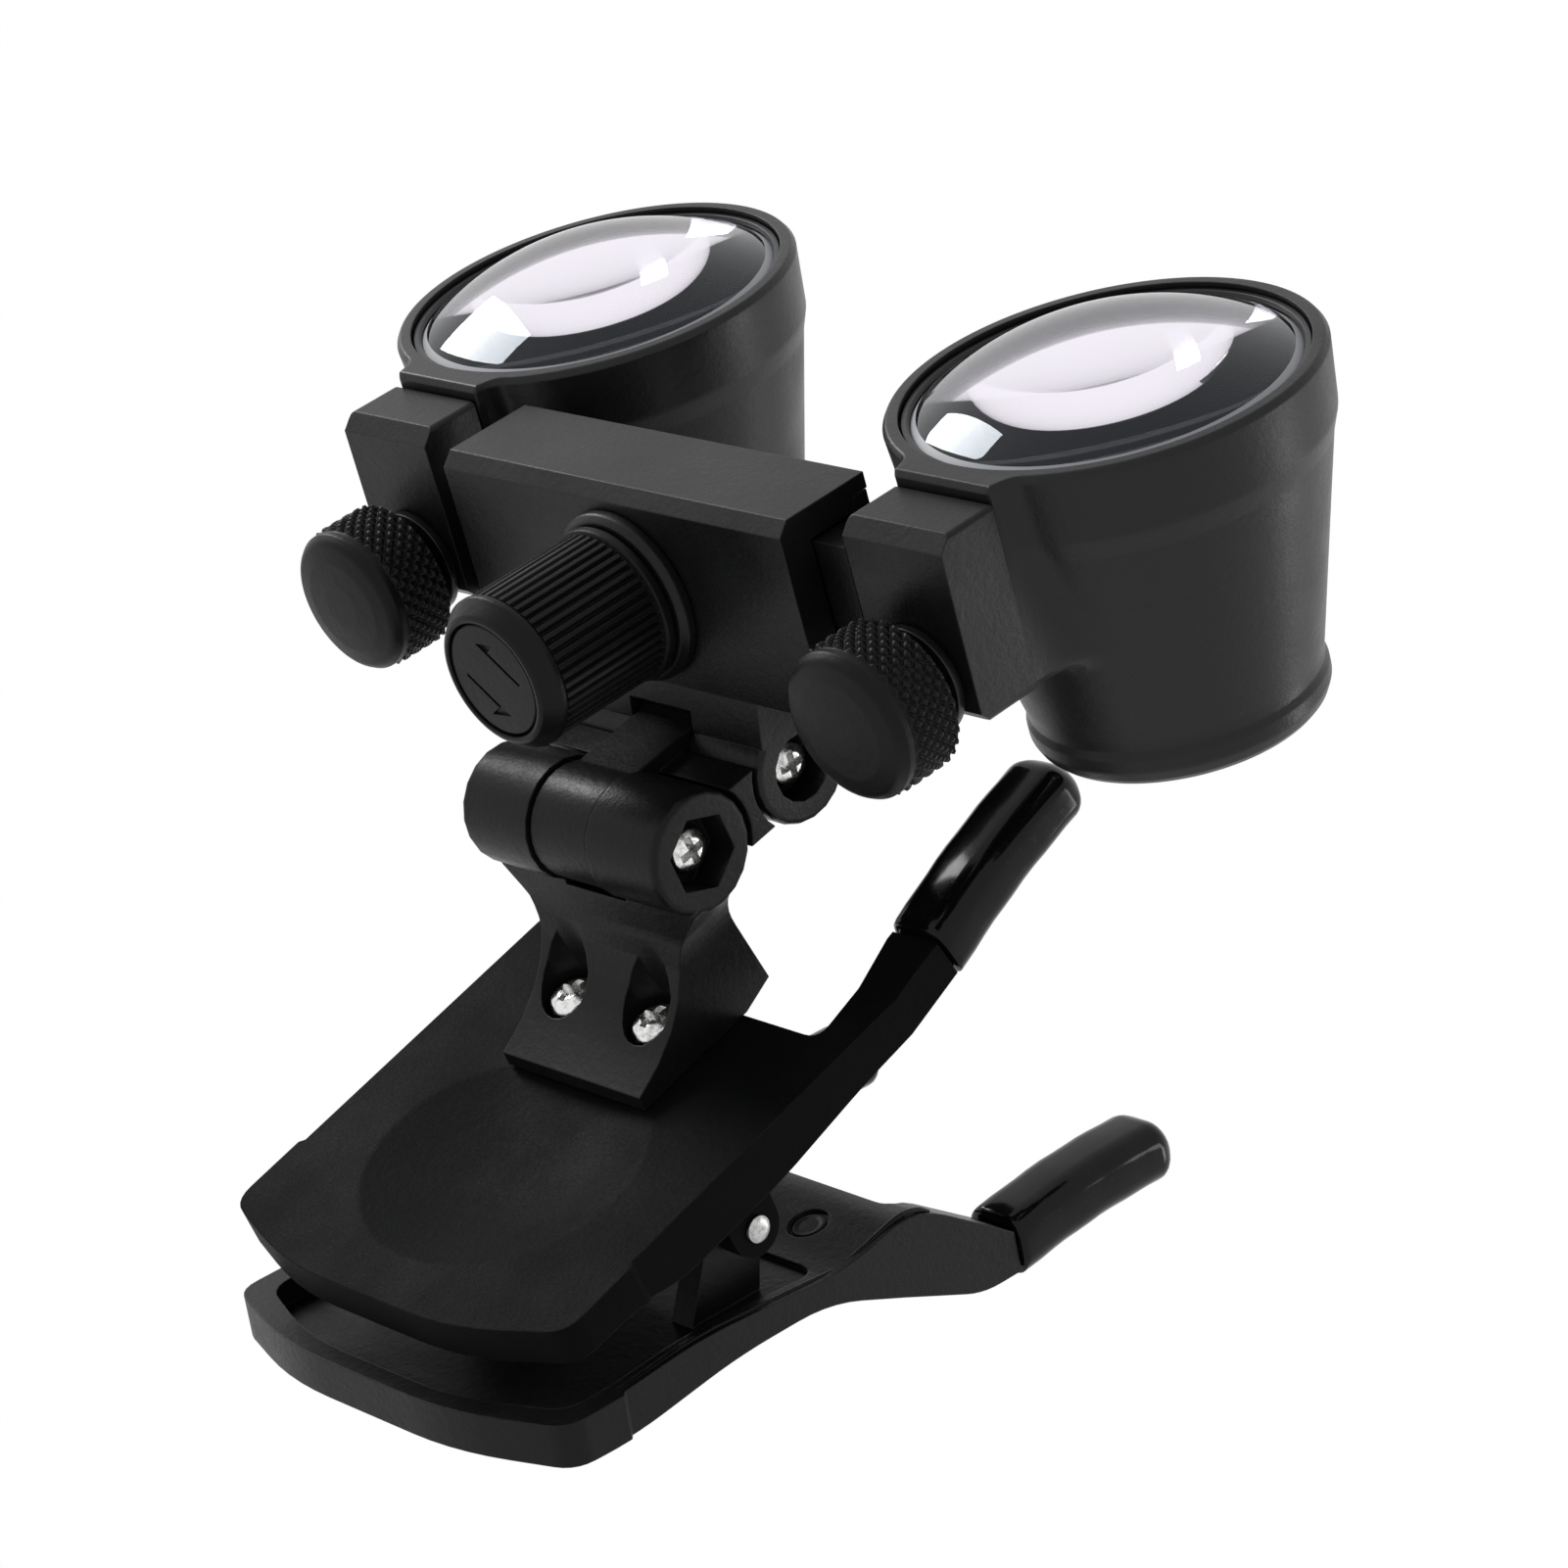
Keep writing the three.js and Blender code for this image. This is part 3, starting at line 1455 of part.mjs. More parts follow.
function retainingRing() {
  const top = -retainer.drop;
  const low = -objective.edgeDrop + seatGap;
  return turnedY([
    [retainer.innerRadius, low],
    [retainer.outerRadius - seatGap / 2, low],
    [retainer.outerRadius - seatGap / 2, top],
    [retainer.innerRadius + (top - low) / 2, top],
    [retainer.innerRadius, low],
  ]);
}

function eyepieceLens() {
  const high = -barrel.length + barrel.eyeSeatDepth - seatGap / 2;
  const low = high - eyeLens.thickness;
  const hollow = [];
  const steps = 5;
  for (let step = 0; step <= steps; step += 1) {
    const share = step / steps;
    hollow.push([eyeLens.hollowRadius * share, low + eyeLens.hollow * (1 - share * share)]);
  }
  return turnedY([...hollow, [eyeLens.radius, low], [eyeLens.radius, high], [0, high]]);
}

function eyepieceRing() {
  const lens = -barrel.length + barrel.eyeSeatDepth - seatGap / 2 - eyeLens.thickness;
  const high = lens - seatGap / 2;
  const low = high - eyeRing.thickness;
  return turnedY([
    [eyeRing.innerRadius, low],
    [eyeLens.radius, low],
    [eyeLens.radius, high],
    [eyeRing.innerRadius, high],
    [eyeRing.innerRadius, low],
  ]);
}

// Assembly

function barrelGroup(side, sign) {
  const group = grouped(
    piece(`${side}_barrel_shell`, barrelShell(), finish.barrel),
    piece(`${side}_objective_lens`, objectiveLens(), finish.lens),
    piece(`${side}_retaining_ring`, retainingRing(), finish.anodised),
    piece(`${side}_eyepiece_lens`, eyepieceLens(), finish.lens),
    piece(`${side}_eyepiece_ring`, eyepieceRing(), finish.anodised),
  );
  group.position.set((sign * barrelSpacing) / 2, head.rimAhead, -head.axisBelow);
  return group;
}

function thumbGroup(side, sign) {
  const group = grouped(
    piece(`${side}_thumb_screw`, thumbScrew(), finish.housing),
    piece(`${side}_thumb_washer`, thumbWasher(), finish.anodised),
  );
  group.position.set((sign * barrelSpacing) / 2, thumb.height, 0);
  return group;
}

function knobGroup() {
  const group = grouped(
    piece('centre_knob', centreKnob(), finish.housing),
    piece('knob_cap', knobCap(), finish.moulded),
    piece('knob_bush', knobBush(), finish.housing),
    piece('pinion_shaft', pinionShaft(), finish.brass),
    piece('pinion_washer', pinionWasher(), finish.steel),
  );
  group.position.set(0, knob.height, 0);
  return group;
}

function coverScrews() {
  return ['left', 'right'].map((side, i) => {
    const screw = piece(`${side}_cover_screw`, coverScrew(), finish.steel);
    screw.position.set((2 * i - 1) * housing.coverScrewAcross, housing.coverScrewHeight, housing.back);
    return screw;
  });
}

function headGroup() {
  const group = grouped(
    piece('housing', housingBody(), finish.housing),
    piece('housing_cover', housingCover(), finish.housing),
    ...coverScrews(),
    piece('upper_hinge_screw', hingeScrew(), finish.chrome),
    piece('upper_hinge_nut', hingeNut(), finish.chrome),
    knobGroup(),
    piece('right_slider', sliderPiece(1), finish.moulded),
    piece('left_slider', sliderPiece(-1), finish.moulded),
    thumbGroup('right', 1),
    thumbGroup('left', -1),
    barrelGroup('right', 1),
    barrelGroup('left', -1),
  );
  group.rotation.x = radians(-head.declination);
  return group;
}

function linkGroup() {
  const lean = radians(link.lean);
  const group = grouped(piece('link_arm', linkArm(), finish.moulded));
  group.rotation.x = lean;
  const upper = headGroup();
  upper.position.set(0, link.length * Math.sin(lean), -link.length * Math.cos(lean));
  const both = grouped(group, upper);
  both.position.set(0, bracket.hingeForward, bracket.hingeHeight);
  return both;
}

function lowerHinge() {
  const group = grouped(
    piece('lower_hinge_screw', hingeScrew(), finish.chrome),
    piece('lower_hinge_nut', hingeNut(), finish.chrome),
  );
  group.position.set(0, bracket.hingeForward, bracket.hingeHeight);
  return group;
}

function bracketScrews() {
  return ['left', 'right'].map((side, i) => {
    const screw = piece(`${side}_bracket_screw`, bracketScrew(), finish.chrome);
    screw.position.set((2 * i - 1) * bracket.screwAcross, 0, bracket.screwHeight);
    return screw;
  });
}

function rearJawGroup() {
  const [x, y, z] = rearArmCentre();
  const group = grouped(
    piece('rear_clip_plate', rearClipPlate(), finish.moulded),
    placedSleeve('right_rear_sleeve', [x, y, z], rearJaw.sleeveLean),
    placedSleeve('left_rear_sleeve', [-x, y, z], rearJaw.sleeveLean),
  );
  group.position.set(0, -pin.behindFace, pin.aboveFork);
  group.rotation.x = radians(-rearJaw.restLean);
  return group;
}

function clipGroup() {
  const [x, y, z] = frontArmCentre();
  const group = grouped(
    piece('front_clip_plate', frontClipPlate(), finish.moulded),
    placedSleeve('right_front_sleeve', [x, y, z], frontJaw.sleeveLean),
    placedSleeve('left_front_sleeve', [-x, y, z], frontJaw.sleeveLean),
    piece('clip_pin', clipPin(), finish.steel),
    piece('clip_spring', torsionSpring(), finish.steel),
    piece('hinge_bracket', hingeBracket(), finish.moulded),
    ...bracketScrews(),
    lowerHinge(),
    rearJawGroup(),
    linkGroup(),
  );
  const grip = gripPoint();
  group.position.set(-grip[0], -grip[1], -grip[2]);
  return group;
}

const loupe = grouped(clipGroup());
loupe.updateMatrixWorld(true);

export default loupe;
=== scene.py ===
"""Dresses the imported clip-on loupe: finer turned and moulded pieces, materials, light and camera.

Lengths are millimetres until a mesh is made, and metres after that. Every frame below is a
matrix from a piece's own frame to the part's frame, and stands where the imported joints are.
"""

import json
import math

import bmesh
import bpy
from mathutils import Matrix, Vector

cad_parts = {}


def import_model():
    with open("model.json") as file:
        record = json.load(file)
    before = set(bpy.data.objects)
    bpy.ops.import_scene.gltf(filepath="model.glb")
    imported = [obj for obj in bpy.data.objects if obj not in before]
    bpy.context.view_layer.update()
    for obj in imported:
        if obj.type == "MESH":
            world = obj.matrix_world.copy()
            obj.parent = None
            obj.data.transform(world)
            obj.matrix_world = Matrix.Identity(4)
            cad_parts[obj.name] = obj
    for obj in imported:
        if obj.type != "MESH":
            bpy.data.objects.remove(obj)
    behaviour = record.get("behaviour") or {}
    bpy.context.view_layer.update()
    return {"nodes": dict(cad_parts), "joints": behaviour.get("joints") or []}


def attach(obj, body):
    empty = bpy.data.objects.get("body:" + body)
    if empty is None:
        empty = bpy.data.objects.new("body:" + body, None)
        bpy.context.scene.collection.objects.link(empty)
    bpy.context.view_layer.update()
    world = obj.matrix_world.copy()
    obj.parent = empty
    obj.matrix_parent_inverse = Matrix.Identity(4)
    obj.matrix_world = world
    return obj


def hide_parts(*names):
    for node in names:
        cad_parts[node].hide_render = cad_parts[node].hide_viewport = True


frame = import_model()

MM = 0.001
TAU = 2 * math.pi


# Frames of the moving bodies, at the joints of the solids


def shift(x, y, z):
    return Matrix.Translation((x, y, z))


def lean(degrees):
    return Matrix.Rotation(math.radians(degrees), 4, "X")


JOINTS = {joint["name"]: joint for joint in frame["joints"]}


def at_joint(name):
    return shift(*(value / MM for value in JOINTS[name]["pos_m"]))


def axis_lean(name):
    """How far a joint's axis, in the part's middle plane, leans away from z."""
    _, y, z = JOINTS[name]["axis"]
    return -math.degrees(math.atan2(y, z))


SIDES = {"right": 1, "left": -1}
PIN_BACK = 7.9
PIN_UP = 14.1
REAR_LEAN = -17
HEAD_LEAN = axis_lean("knob_turn")
BARREL_OUT = 14
BARREL_DROP = 24.9
PIVOT = at_joint("jaw_hinge")
CLIP = PIVOT @ shift(0, PIN_BACK, -PIN_UP)
REAR = PIVOT @ lean(REAR_LEAN)
LOWER = at_joint("lower_hinge")
HEAD = at_joint("upper_hinge") @ lean(HEAD_LEAN)
KNOB = at_joint("knob_turn") @ lean(HEAD_LEAN)


def thumb_frame(side):
    return at_joint(f"{side}_thumb_turn") @ lean(HEAD_LEAN)


def barrel_frame(side):
    return thumb_frame(side) @ shift(0, BARREL_OUT, -BARREL_DROP)


def along_x(matrix):
    """For a turned body whose profile height runs along the frame's x."""
    return matrix @ Matrix.Rotation(math.radians(90), 4, "Y")


def along_y(matrix):
    """For a turned body whose profile height runs along the frame's y."""
    return matrix @ Matrix.Rotation(math.radians(-90), 4, "X")


# Meshes


def mesh_object(name, points, faces, matrix, angle=40):
    mesh = bpy.data.meshes.new(name)
    mesh.from_pydata([tuple(p) for p in points], [], faces)
    bm = bmesh.new()
    bm.from_mesh(mesh)
    bmesh.ops.remove_doubles(bm, verts=bm.verts, dist=1e-5)
    bmesh.ops.recalc_face_normals(bm, faces=bm.faces)
    bm.to_mesh(mesh)
    bm.free()
    mesh.transform(Matrix.Scale(MM, 4) @ matrix)
    mesh.shade_smooth()
    mesh.set_sharp_from_angle(angle=math.radians(angle))
    made = bpy.data.objects.new(name, mesh)
    bpy.context.scene.collection.objects.link(made)
    return made


def fillet(corners, steps=5):
    """Points of a polyline whose corners (a, b, radius) are rounded; a corner with no radius stays."""
    points = []
    for i, corner in enumerate(corners):
        here = Vector(corner[:2])
        radius = corner[2] if len(corner) > 2 else 0
        if radius <= 0 or i in (0, len(corners) - 1):
            points.append(here)
            continue
        before = Vector(corners[i - 1][:2]) - here
        after = Vector(corners[i + 1][:2]) - here
        bend = before.angle(after)
        reach = min(radius / math.tan(bend / 2), before.length * 0.49, after.length * 0.49)
        start, end = here + before.normalized() * reach, here + after.normalized() * reach
        for step in range(steps + 1):
            t = step / steps
            points.append(start * (1 - t) ** 2 + here * 2 * t * (1 - t) + end * t**2)
    return points


def lathe(profile, segments, swell=None, spread=None):
    """Points and faces of a body turned about z.

    A profile that starts and ends on the axis is capped, and one that ends where it starts is a ring.
    swell(angle, radius, height) may change a radius, and spread(angle) an angle.
    """
    closed = (Vector(profile[0]) - Vector(profile[-1])).length < 1e-6
    rows = list(profile[:-1]) if closed else list(profile)
    points = []
    for radius, height in rows:
        for i in range(segments):
            angle = TAU * i / segments
            angle = spread(angle) if spread else angle
            r = swell(angle, radius, height) if swell and radius > 0 else radius
            points.append((r * math.cos(angle), r * math.sin(angle), height))
    count = len(rows)
    faces = []
    for row in range(count if closed else count - 1):
        a, b = row * segments, ((row + 1) % count) * segments
        for i in range(segments):
            j = (i + 1) % segments
            faces.append((a + i, a + j, b + j, b + i))
    return points, faces


def turned(name, profile, matrix, segments=96, angle=40, swell=None, spread=None):
    points, faces = lathe(profile, segments, swell, spread)
    return mesh_object(name, points, faces, matrix, angle)


def loft(name, rings, matrix, angle=40):
    """A closed body through rings of equally many points, capped at both ends."""
    size = len(rings[0])
    points = [p for ring in rings for p in ring]
    faces = []
    for row in range(len(rings) - 1):
        a, b = row * size, (row + 1) * size
        for i in range(size):
            j = (i + 1) % size
            faces.append((a + i, a + j, b + j, b + i))
    faces.append(tuple(range(size))[::-1])
    faces.append(tuple(range((len(rings) - 1) * size, len(rings) * size)))
    return mesh_object(name, points, faces, matrix, angle)


def prism(name, outline, low, high, matrix):
    return loft(name, [[(x, y, z) for x, y in outline] for z in (low, high)], matrix)


def settle(obj, angle=35):
    """Puts what the modifiers make into the mesh itself."""
    graph = bpy.context.evaluated_depsgraph_get()
    mesh = bpy.data.meshes.new_from_object(obj.evaluated_get(graph))
    obj.modifiers.clear()
    obj.data = mesh
    mesh.shade_smooth()
    mesh.set_sharp_from_angle(angle=math.radians(angle))


def carve(obj, *tools, angle=35):
    """Cuts the tools out of obj and removes them."""
    for tool in tools:
        step = obj.modifiers.new("carve", "BOOLEAN")
        step.operation = "DIFFERENCE"
        step.solver = "EXACT"
        step.object = tool
        settle(obj, angle)
        bpy.data.objects.remove(tool, do_unlink=True)


def place(obj, body, look, slot, *nodes):
    """Dresses a piece and hangs it on its body; nodes are the solids that it stands for."""
    obj.data.materials.clear()
    obj.data.materials.append(look)
    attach(obj, body)
    if nodes:
        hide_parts(*nodes)


# Materials


class Look:
    """A node material: small helpers that add and wire nodes."""

    def __init__(self, name):
        self.material = bpy.data.materials.new(name)
        self.material.use_nodes = True
        self.nodes = self.material.node_tree.nodes
        self.links = self.material.node_tree.links
        self.shader = self.nodes["Principled BSDF"]
        self.place = self.nodes.new("ShaderNodeTexCoord").outputs["Object"]

    def wire(self, source, target):
        self.links.new(source, target)

    def set(self, **values):
        for name, value in values.items():
            self.shader.inputs[name.replace("_", " ")].default_value = value

    def noise(self, size, detail=3.0, rough=0.55):
        node = self.nodes.new("ShaderNodeTexNoise")
        node.inputs["Scale"].default_value = 1 / (size * MM)
        node.inputs["Detail"].default_value = detail
        node.inputs["Roughness"].default_value = rough
        self.wire(self.place, node.inputs["Vector"])
        return node.outputs["Fac"]

    def cells(self, size):
        node = self.nodes.new("ShaderNodeTexVoronoi")
        node.inputs["Scale"].default_value = 1 / (size * MM)
        self.wire(self.place, node.inputs["Vector"])
        return node.outputs["Distance"]

    def span(self, value, low, high, to_low, to_high):
        node = self.nodes.new("ShaderNodeMapRange")
        for name, number in zip(("From Min", "From Max", "To Min", "To Max"), (low, high, to_low, to_high)):
            node.inputs[name].default_value = number
        self.wire(value, node.inputs["Value"])
        return node.outputs["Result"]

    def mix(self, factor, one, two):
        node = self.nodes.new("ShaderNodeMix")
        node.data_type = "RGBA"
        self.wire(factor, node.inputs["Factor"])
        for name, value in (("A", one), ("B", two)):
            socket = [s for s in node.inputs if s.name == name and s.type == "RGBA"][0]
            if isinstance(value, tuple):
                socket.default_value = (*value, 1)
            else:
                self.wire(value, socket)
        return [s for s in node.outputs if s.type == "RGBA"][0]

    def sum(self, one, two, operation="ADD"):
        node = self.nodes.new("ShaderNodeMath")
        node.operation = operation
        for socket, value in zip(node.inputs, (one, two)):
            if isinstance(value, (int, float)):
                socket.default_value = value
            else:
                self.wire(value, socket)
        return node.outputs[0]

    def bump(self, height, depth, strength=1.0, onto=None):
        node = self.nodes.new("ShaderNodeBump")
        node.inputs["Strength"].default_value = strength
        node.inputs["Distance"].default_value = depth * MM
        self.wire(height, node.inputs["Height"])
        if onto is not None:
            self.wire(onto, node.inputs["Normal"])
        return node.outputs["Normal"]

    def edges(self, radius):
        """The normal of edges rounded by radius, and a mask that is 1 on those edges."""
        soft = self.nodes.new("ShaderNodeBevel")
        soft.samples = 6
        soft.inputs["Radius"].default_value = radius * MM
        flat = self.nodes.new("ShaderNodeNewGeometry")
        dot = self.nodes.new("ShaderNodeVectorMath")
        dot.operation = "DOT_PRODUCT"
        self.wire(soft.outputs["Normal"], dot.inputs[0])
        self.wire(flat.outputs["Normal"], dot.inputs[1])
        return soft.outputs["Normal"], self.span(dot.outputs["Value"], 0.99, 0.8, 0, 1)


def moulded(name, colour, worn, roughness, grain, depth, gloss, edge=0.18):
    """Matt moulded plastic: spark-eroded grain, faint mottling, dust and rubbed edges."""
    look = Look(name)
    soft, rubbed = look.edges(edge)
    fine = look.noise(grain, 4, 0.6)
    pits = look.cells(grain * 1.7)
    cloud = look.noise(9, 3)
    dust = look.span(look.noise(0.9, 5, 0.7), 0.62, 0.78, 0, 0.35)
    clouded = tuple(c * 1.35 for c in colour)
    dusty = tuple(c * 2.6 for c in colour)
    base = look.mix(look.span(cloud, 0.35, 0.7, 0, 1), colour, clouded)
    dusted = look.mix(dust, base, dusty)
    wear = look.sum(rubbed, look.span(look.noise(1.6, 4), 0.35, 0.65, 0.35, 1), "MULTIPLY")
    look.wire(look.mix(wear, dusted, worn), look.shader.inputs["Base Color"])
    matt = look.span(look.sum(fine, cloud), 0.7, 1.3, roughness - 0.09, roughness + 0.1)
    look.wire(matt, look.shader.inputs["Roughness"])
    relief = look.sum(fine, look.sum(pits, 0.6, "MULTIPLY"))
    uneven = look.bump(look.noise(0.75, 2, 0.5), 0.035, 0.7, soft)
    look.wire(look.bump(relief, depth, 0.6, uneven), look.shader.inputs["Normal"])
    look.set(Specular_IOR_Level=gloss)
    return look.material


def vinyl(name):
    """Dipped soft vinyl: wet black gloss with slow waves and a few rubbed spots."""
    look = Look(name)
    waves = look.noise(4.5, 2, 0.4)
    fine = look.noise(0.35, 3)
    spots = look.span(look.noise(1.1, 4, 0.65), 0.6, 0.75, 0, 1)
    colour = look.mix(spots, (0.004, 0.004, 0.0045), (0.012, 0.012, 0.013))
    look.wire(colour, look.shader.inputs["Base Color"])
    look.wire(look.span(look.sum(spots, fine), 0.3, 1.4, 0.1, 0.24), look.shader.inputs["Roughness"])
    relief = look.bump(fine, 0.004, 0.4, look.bump(waves, 0.12, 0.5))
    look.wire(relief, look.shader.inputs["Normal"])
    look.set(Specular_IOR_Level=0.1, Coat_Weight=0.12, Coat_Roughness=0.08)
    return look.material


def metal(name, colour, dark, roughness, grain, depth):
    """Plated or drawn metal with fine scratches and darker specks where a noise runs high."""
    look = Look(name)
    fine = look.noise(grain, 4, 0.6)
    # Darker specks scattered at random by a noise, not placed in hollows.
    dark_specks = look.span(look.noise(grain * 5, 4, 0.6), 0.45, 0.7, 0, 1)
    look.wire(look.mix(dark_specks, colour, dark), look.shader.inputs["Base Color"])
    look.wire(look.span(fine, 0.3, 0.7, roughness - 0.05, roughness + 0.12), look.shader.inputs["Roughness"])
    look.wire(look.bump(fine, depth, 0.7), look.shader.inputs["Normal"])
    look.set(Metallic=1.0)
    return look.material


def anodised(name):
    """Turned and blacked metal with a fine grain."""
    look = Look(name)
    fine = look.noise(0.12, 4)
    look.wire(look.mix(fine, (0.008, 0.008, 0.009), (0.02, 0.02, 0.022)), look.shader.inputs["Base Color"])
    look.wire(look.span(fine, 0.3, 0.7, 0.28, 0.42), look.shader.inputs["Roughness"])
    look.wire(look.bump(fine, 0.01, 0.5), look.shader.inputs["Normal"])
    look.set(Metallic=0.5)
    return look.material


def lens_glass(name):
    """Coated glass: clear and faintly lilac, with a bluish gloss and faint dust in its roughness."""
    look = Look(name)
    dust = look.span(look.noise(0.5, 6, 0.7), 0.66, 0.8, 0.0, 0.05)
    look.wire(dust, look.shader.inputs["Roughness"])
    look.set(Transmission_Weight=1.0, IOR=1.5)
    look.set(Base_Color=(0.92, 0.88, 0.96, 1), Specular_Tint=(0.56, 0.62, 0.7, 1))
    return look.material


def ground_glass(name):
    """The frosted bevel round a lens."""
    look = Look(name)
    fine = look.noise(0.08, 3)
    look.wire(look.mix(fine, (0.34, 0.35, 0.37), (0.5, 0.51, 0.53)), look.shader.inputs["Base Color"])
    look.wire(look.span(fine, 0.3, 0.7, 0.3, 0.5), look.shader.inputs["Roughness"])
    return look.material


# The front plate's plastic is a darker, duller copy of the body plastic: partly the plate's own finish,
# partly painted shade that darkens the whole plate.
SHADED_PLATE = moulded(
    "moulded_plate_shaded", colour=(0.005, 0.0051, 0.0053), worn=(0.034, 0.034, 0.035),
    roughness=0.48, grain=0.24, depth=0.02, gloss=0.015)
BODY = moulded(
    "moulded_body", colour=(0.006, 0.0061, 0.0063), worn=(0.034, 0.034, 0.035),
    roughness=0.38, grain=0.24, depth=0.02, gloss=0.14)
CASE = moulded(
    "moulded_case", colour=(0.006, 0.0061, 0.0064), worn=(0.04, 0.04, 0.041),
    roughness=0.38, grain=0.2, depth=0.018, gloss=0.2)
TUBE = moulded(
    "moulded_tube", colour=(0.0065, 0.0066, 0.007), worn=(0.036, 0.036, 0.037),
    roughness=0.38, grain=0.16, depth=0.016, gloss=0.27)
GRIP = moulded(
    "moulded_grip", colour=(0.0055, 0.0055, 0.0058), worn=(0.05, 0.05, 0.05),
    roughness=0.38, grain=0.14, depth=0.014, gloss=0.13, edge=0.08)
VINYL = vinyl("dipped_vinyl")
CHROME = metal(
    "chrome_plate", colour=(0.78, 0.78, 0.77), dark=(0.35, 0.34, 0.33),
    roughness=0.16, grain=0.12, depth=0.01)
STEEL = metal(
    "drawn_steel", colour=(0.5, 0.5, 0.5), dark=(0.28, 0.27, 0.26),
    roughness=0.3, grain=0.1, depth=0.008)
BRASS = metal(
    "turned_brass", colour=(0.55, 0.4, 0.17), dark=(0.35, 0.24, 0.1),
    roughness=0.28, grain=0.1, depth=0.008)
BLACKED = anodised("black_anodised")
GLASS = lens_glass("coated_glass")
GROUND = ground_glass("ground_bevel")


# CAD nodes that keep their shape: softened edges and smooth facets


def smooth_tree(limit):
    """Geometry nodes that shade every edge under limit degrees smooth."""
    tree = bpy.data.node_groups.new("smooth_by_angle", "GeometryNodeTree")
    tree.interface.new_socket("Geometry", in_out="INPUT", socket_type="NodeSocketGeometry")
    tree.interface.new_socket("Geometry", in_out="OUTPUT", socket_type="NodeSocketGeometry")
    start, end = tree.nodes.new("NodeGroupInput"), tree.nodes.new("NodeGroupOutput")
    fold = tree.nodes.new("GeometryNodeInputMeshEdgeAngle")
    test = tree.nodes.new("FunctionNodeCompare")
    test.data_type = "FLOAT"
    test.operation = "LESS_EQUAL"
    test.inputs["B"].default_value = math.radians(limit)
    edge, face = tree.nodes.new("GeometryNodeSetShadeSmooth"), tree.nodes.new("GeometryNodeSetShadeSmooth")
    edge.domain, face.domain = "EDGE", "FACE"
    tree.links.new(fold.outputs["Unsigned Angle"], test.inputs["A"])
    tree.links.new(start.outputs["Geometry"], edge.inputs["Geometry"])
    tree.links.new(test.outputs["Result"], edge.inputs["Shade Smooth"])
    tree.links.new(edge.outputs["Geometry"], face.inputs["Geometry"])
    tree.links.new(face.outputs["Geometry"], end.inputs["Geometry"])
    return tree


SMOOTH = smooth_tree(34)
FILED_FROM = math.radians(38)
FLAT_WITHIN = math.radians(0.6)
MELT = 2e-6


def soften(node, look, width=0.2):
    """Dresses a CAD node: its facets melt together and its edges are filed by width."""
    obj = frame["nodes"][node]
    weld = obj.modifiers.new("weld", "WELD")
    weld.merge_threshold = MELT
    plane = obj.modifiers.new("plane", "DECIMATE")
    plane.decimate_type = "DISSOLVE"
    plane.angle_limit = FLAT_WITHIN
    if width > 0:
        bevel = obj.modifiers.new("bevel", "BEVEL")
        bevel.width = width * MM
        bevel.segments = 2
        bevel.limit_method = "ANGLE"
        bevel.angle_limit = FILED_FROM
        bevel.use_clamp_overlap = True
        bevel.miter_outer = "MITER_ARC"
    smooth = obj.modifiers.new("smooth", "NODES")
    smooth.node_group = SMOOTH
    normals = obj.modifiers.new("normals", "WEIGHTED_NORMAL")
    normals.keep_sharp = True
    obj.data.materials.clear()
    obj.data.materials.append(look)


# The front plate takes the darker, duller copy, with its painted shade.
soften("front_clip_plate", SHADED_PLATE)
for node in ("rear_clip_plate", "hinge_bracket", "link_arm"):
    soften(node, BODY)
for node in ("housing", "housing_cover", "left_slider", "right_slider"):
    soften(node, CASE)
for node in ("lower_hinge_nut", "upper_hinge_nut"):
    soften(node, CHROME, width=0.15)
for node in ("left_cover_screw", "right_cover_screw", "pinion_washer"):
    soften(node, STEEL, width=0.1)
soften("pinion_shaft", BRASS, width=0)


# Barrels


BARREL_END = -30.8
EYE_SEAT = BARREL_END + 3.6
PLAY = 0.15
LENS_RIM = 16.45
LENS_EDGE = -1.1
LENS_BACK = -2.3
LENS_BEVEL = 15.35
SEAT_TURN = -TAU / 4


def barrel_outer():
    end = BARREL_END
    return fillet([
        (0, end), (11.6, end, 0.3), (12.15, end + 0.55, 0.4), (12.6, -29.3, 1.2), (12.6, -28.2, 0.5),
        (12.36, -27.5, 0.5), (12.5, -26.6, 0.6), (15.75, -13, 6), (16.95, -8, 3), (17.62, -6.1, 2.4),
        (17.8, -4, 2), (18.1, -0.55, 0.3), (17.75, 0, 0.3), (16.9, 0), (0, 0),
    ])


def barrel_bore():
    end, stop = BARREL_END, EYE_SEAT
    return fillet([
        (0, end - 1), (10.3, end - 1), (10.3, stop), (8.4, stop), (8.4, end + 5),
        (15.2, -6), (15.2, -4.6), (16.75, -4.6), (16.75, 1), (0, 1),
    ])


def close_to_seat(turn):
    """Draws evenly spread angles together round the seat, where the outline bends most."""
    draw = 0.78
    return turn - draw * math.sin(turn - SEAT_TURN)


def seat_boss(angle, radius, height):
    """Swells the barrel to its flat seat, whose sides and foot run out into the round wall."""
    plane, half, blend, rim = 19.1, 5.0, 5.0, 18.1
    foot_low, foot_rise, front_edge = -18.6, 1.4, -0.56
    foot = min(1, max(0, (height - foot_low) / foot_rise))
    off = angle - SEAT_TURN
    if foot == 0 or math.cos(off) < 0.7:
        return radius
    side = half / max(abs(math.sin(off)), 0.02)
    near = max(0, blend - abs(radius - side)) / blend
    wide = max(radius, side) + blend * near**2 / 4
    inset = max(0, rim - radius) if height > front_edge else 0
    full = min((plane - inset) / math.cos(off), wide)
    return radius + max(0, full - radius) * foot**2 * (3 - 2 * foot)


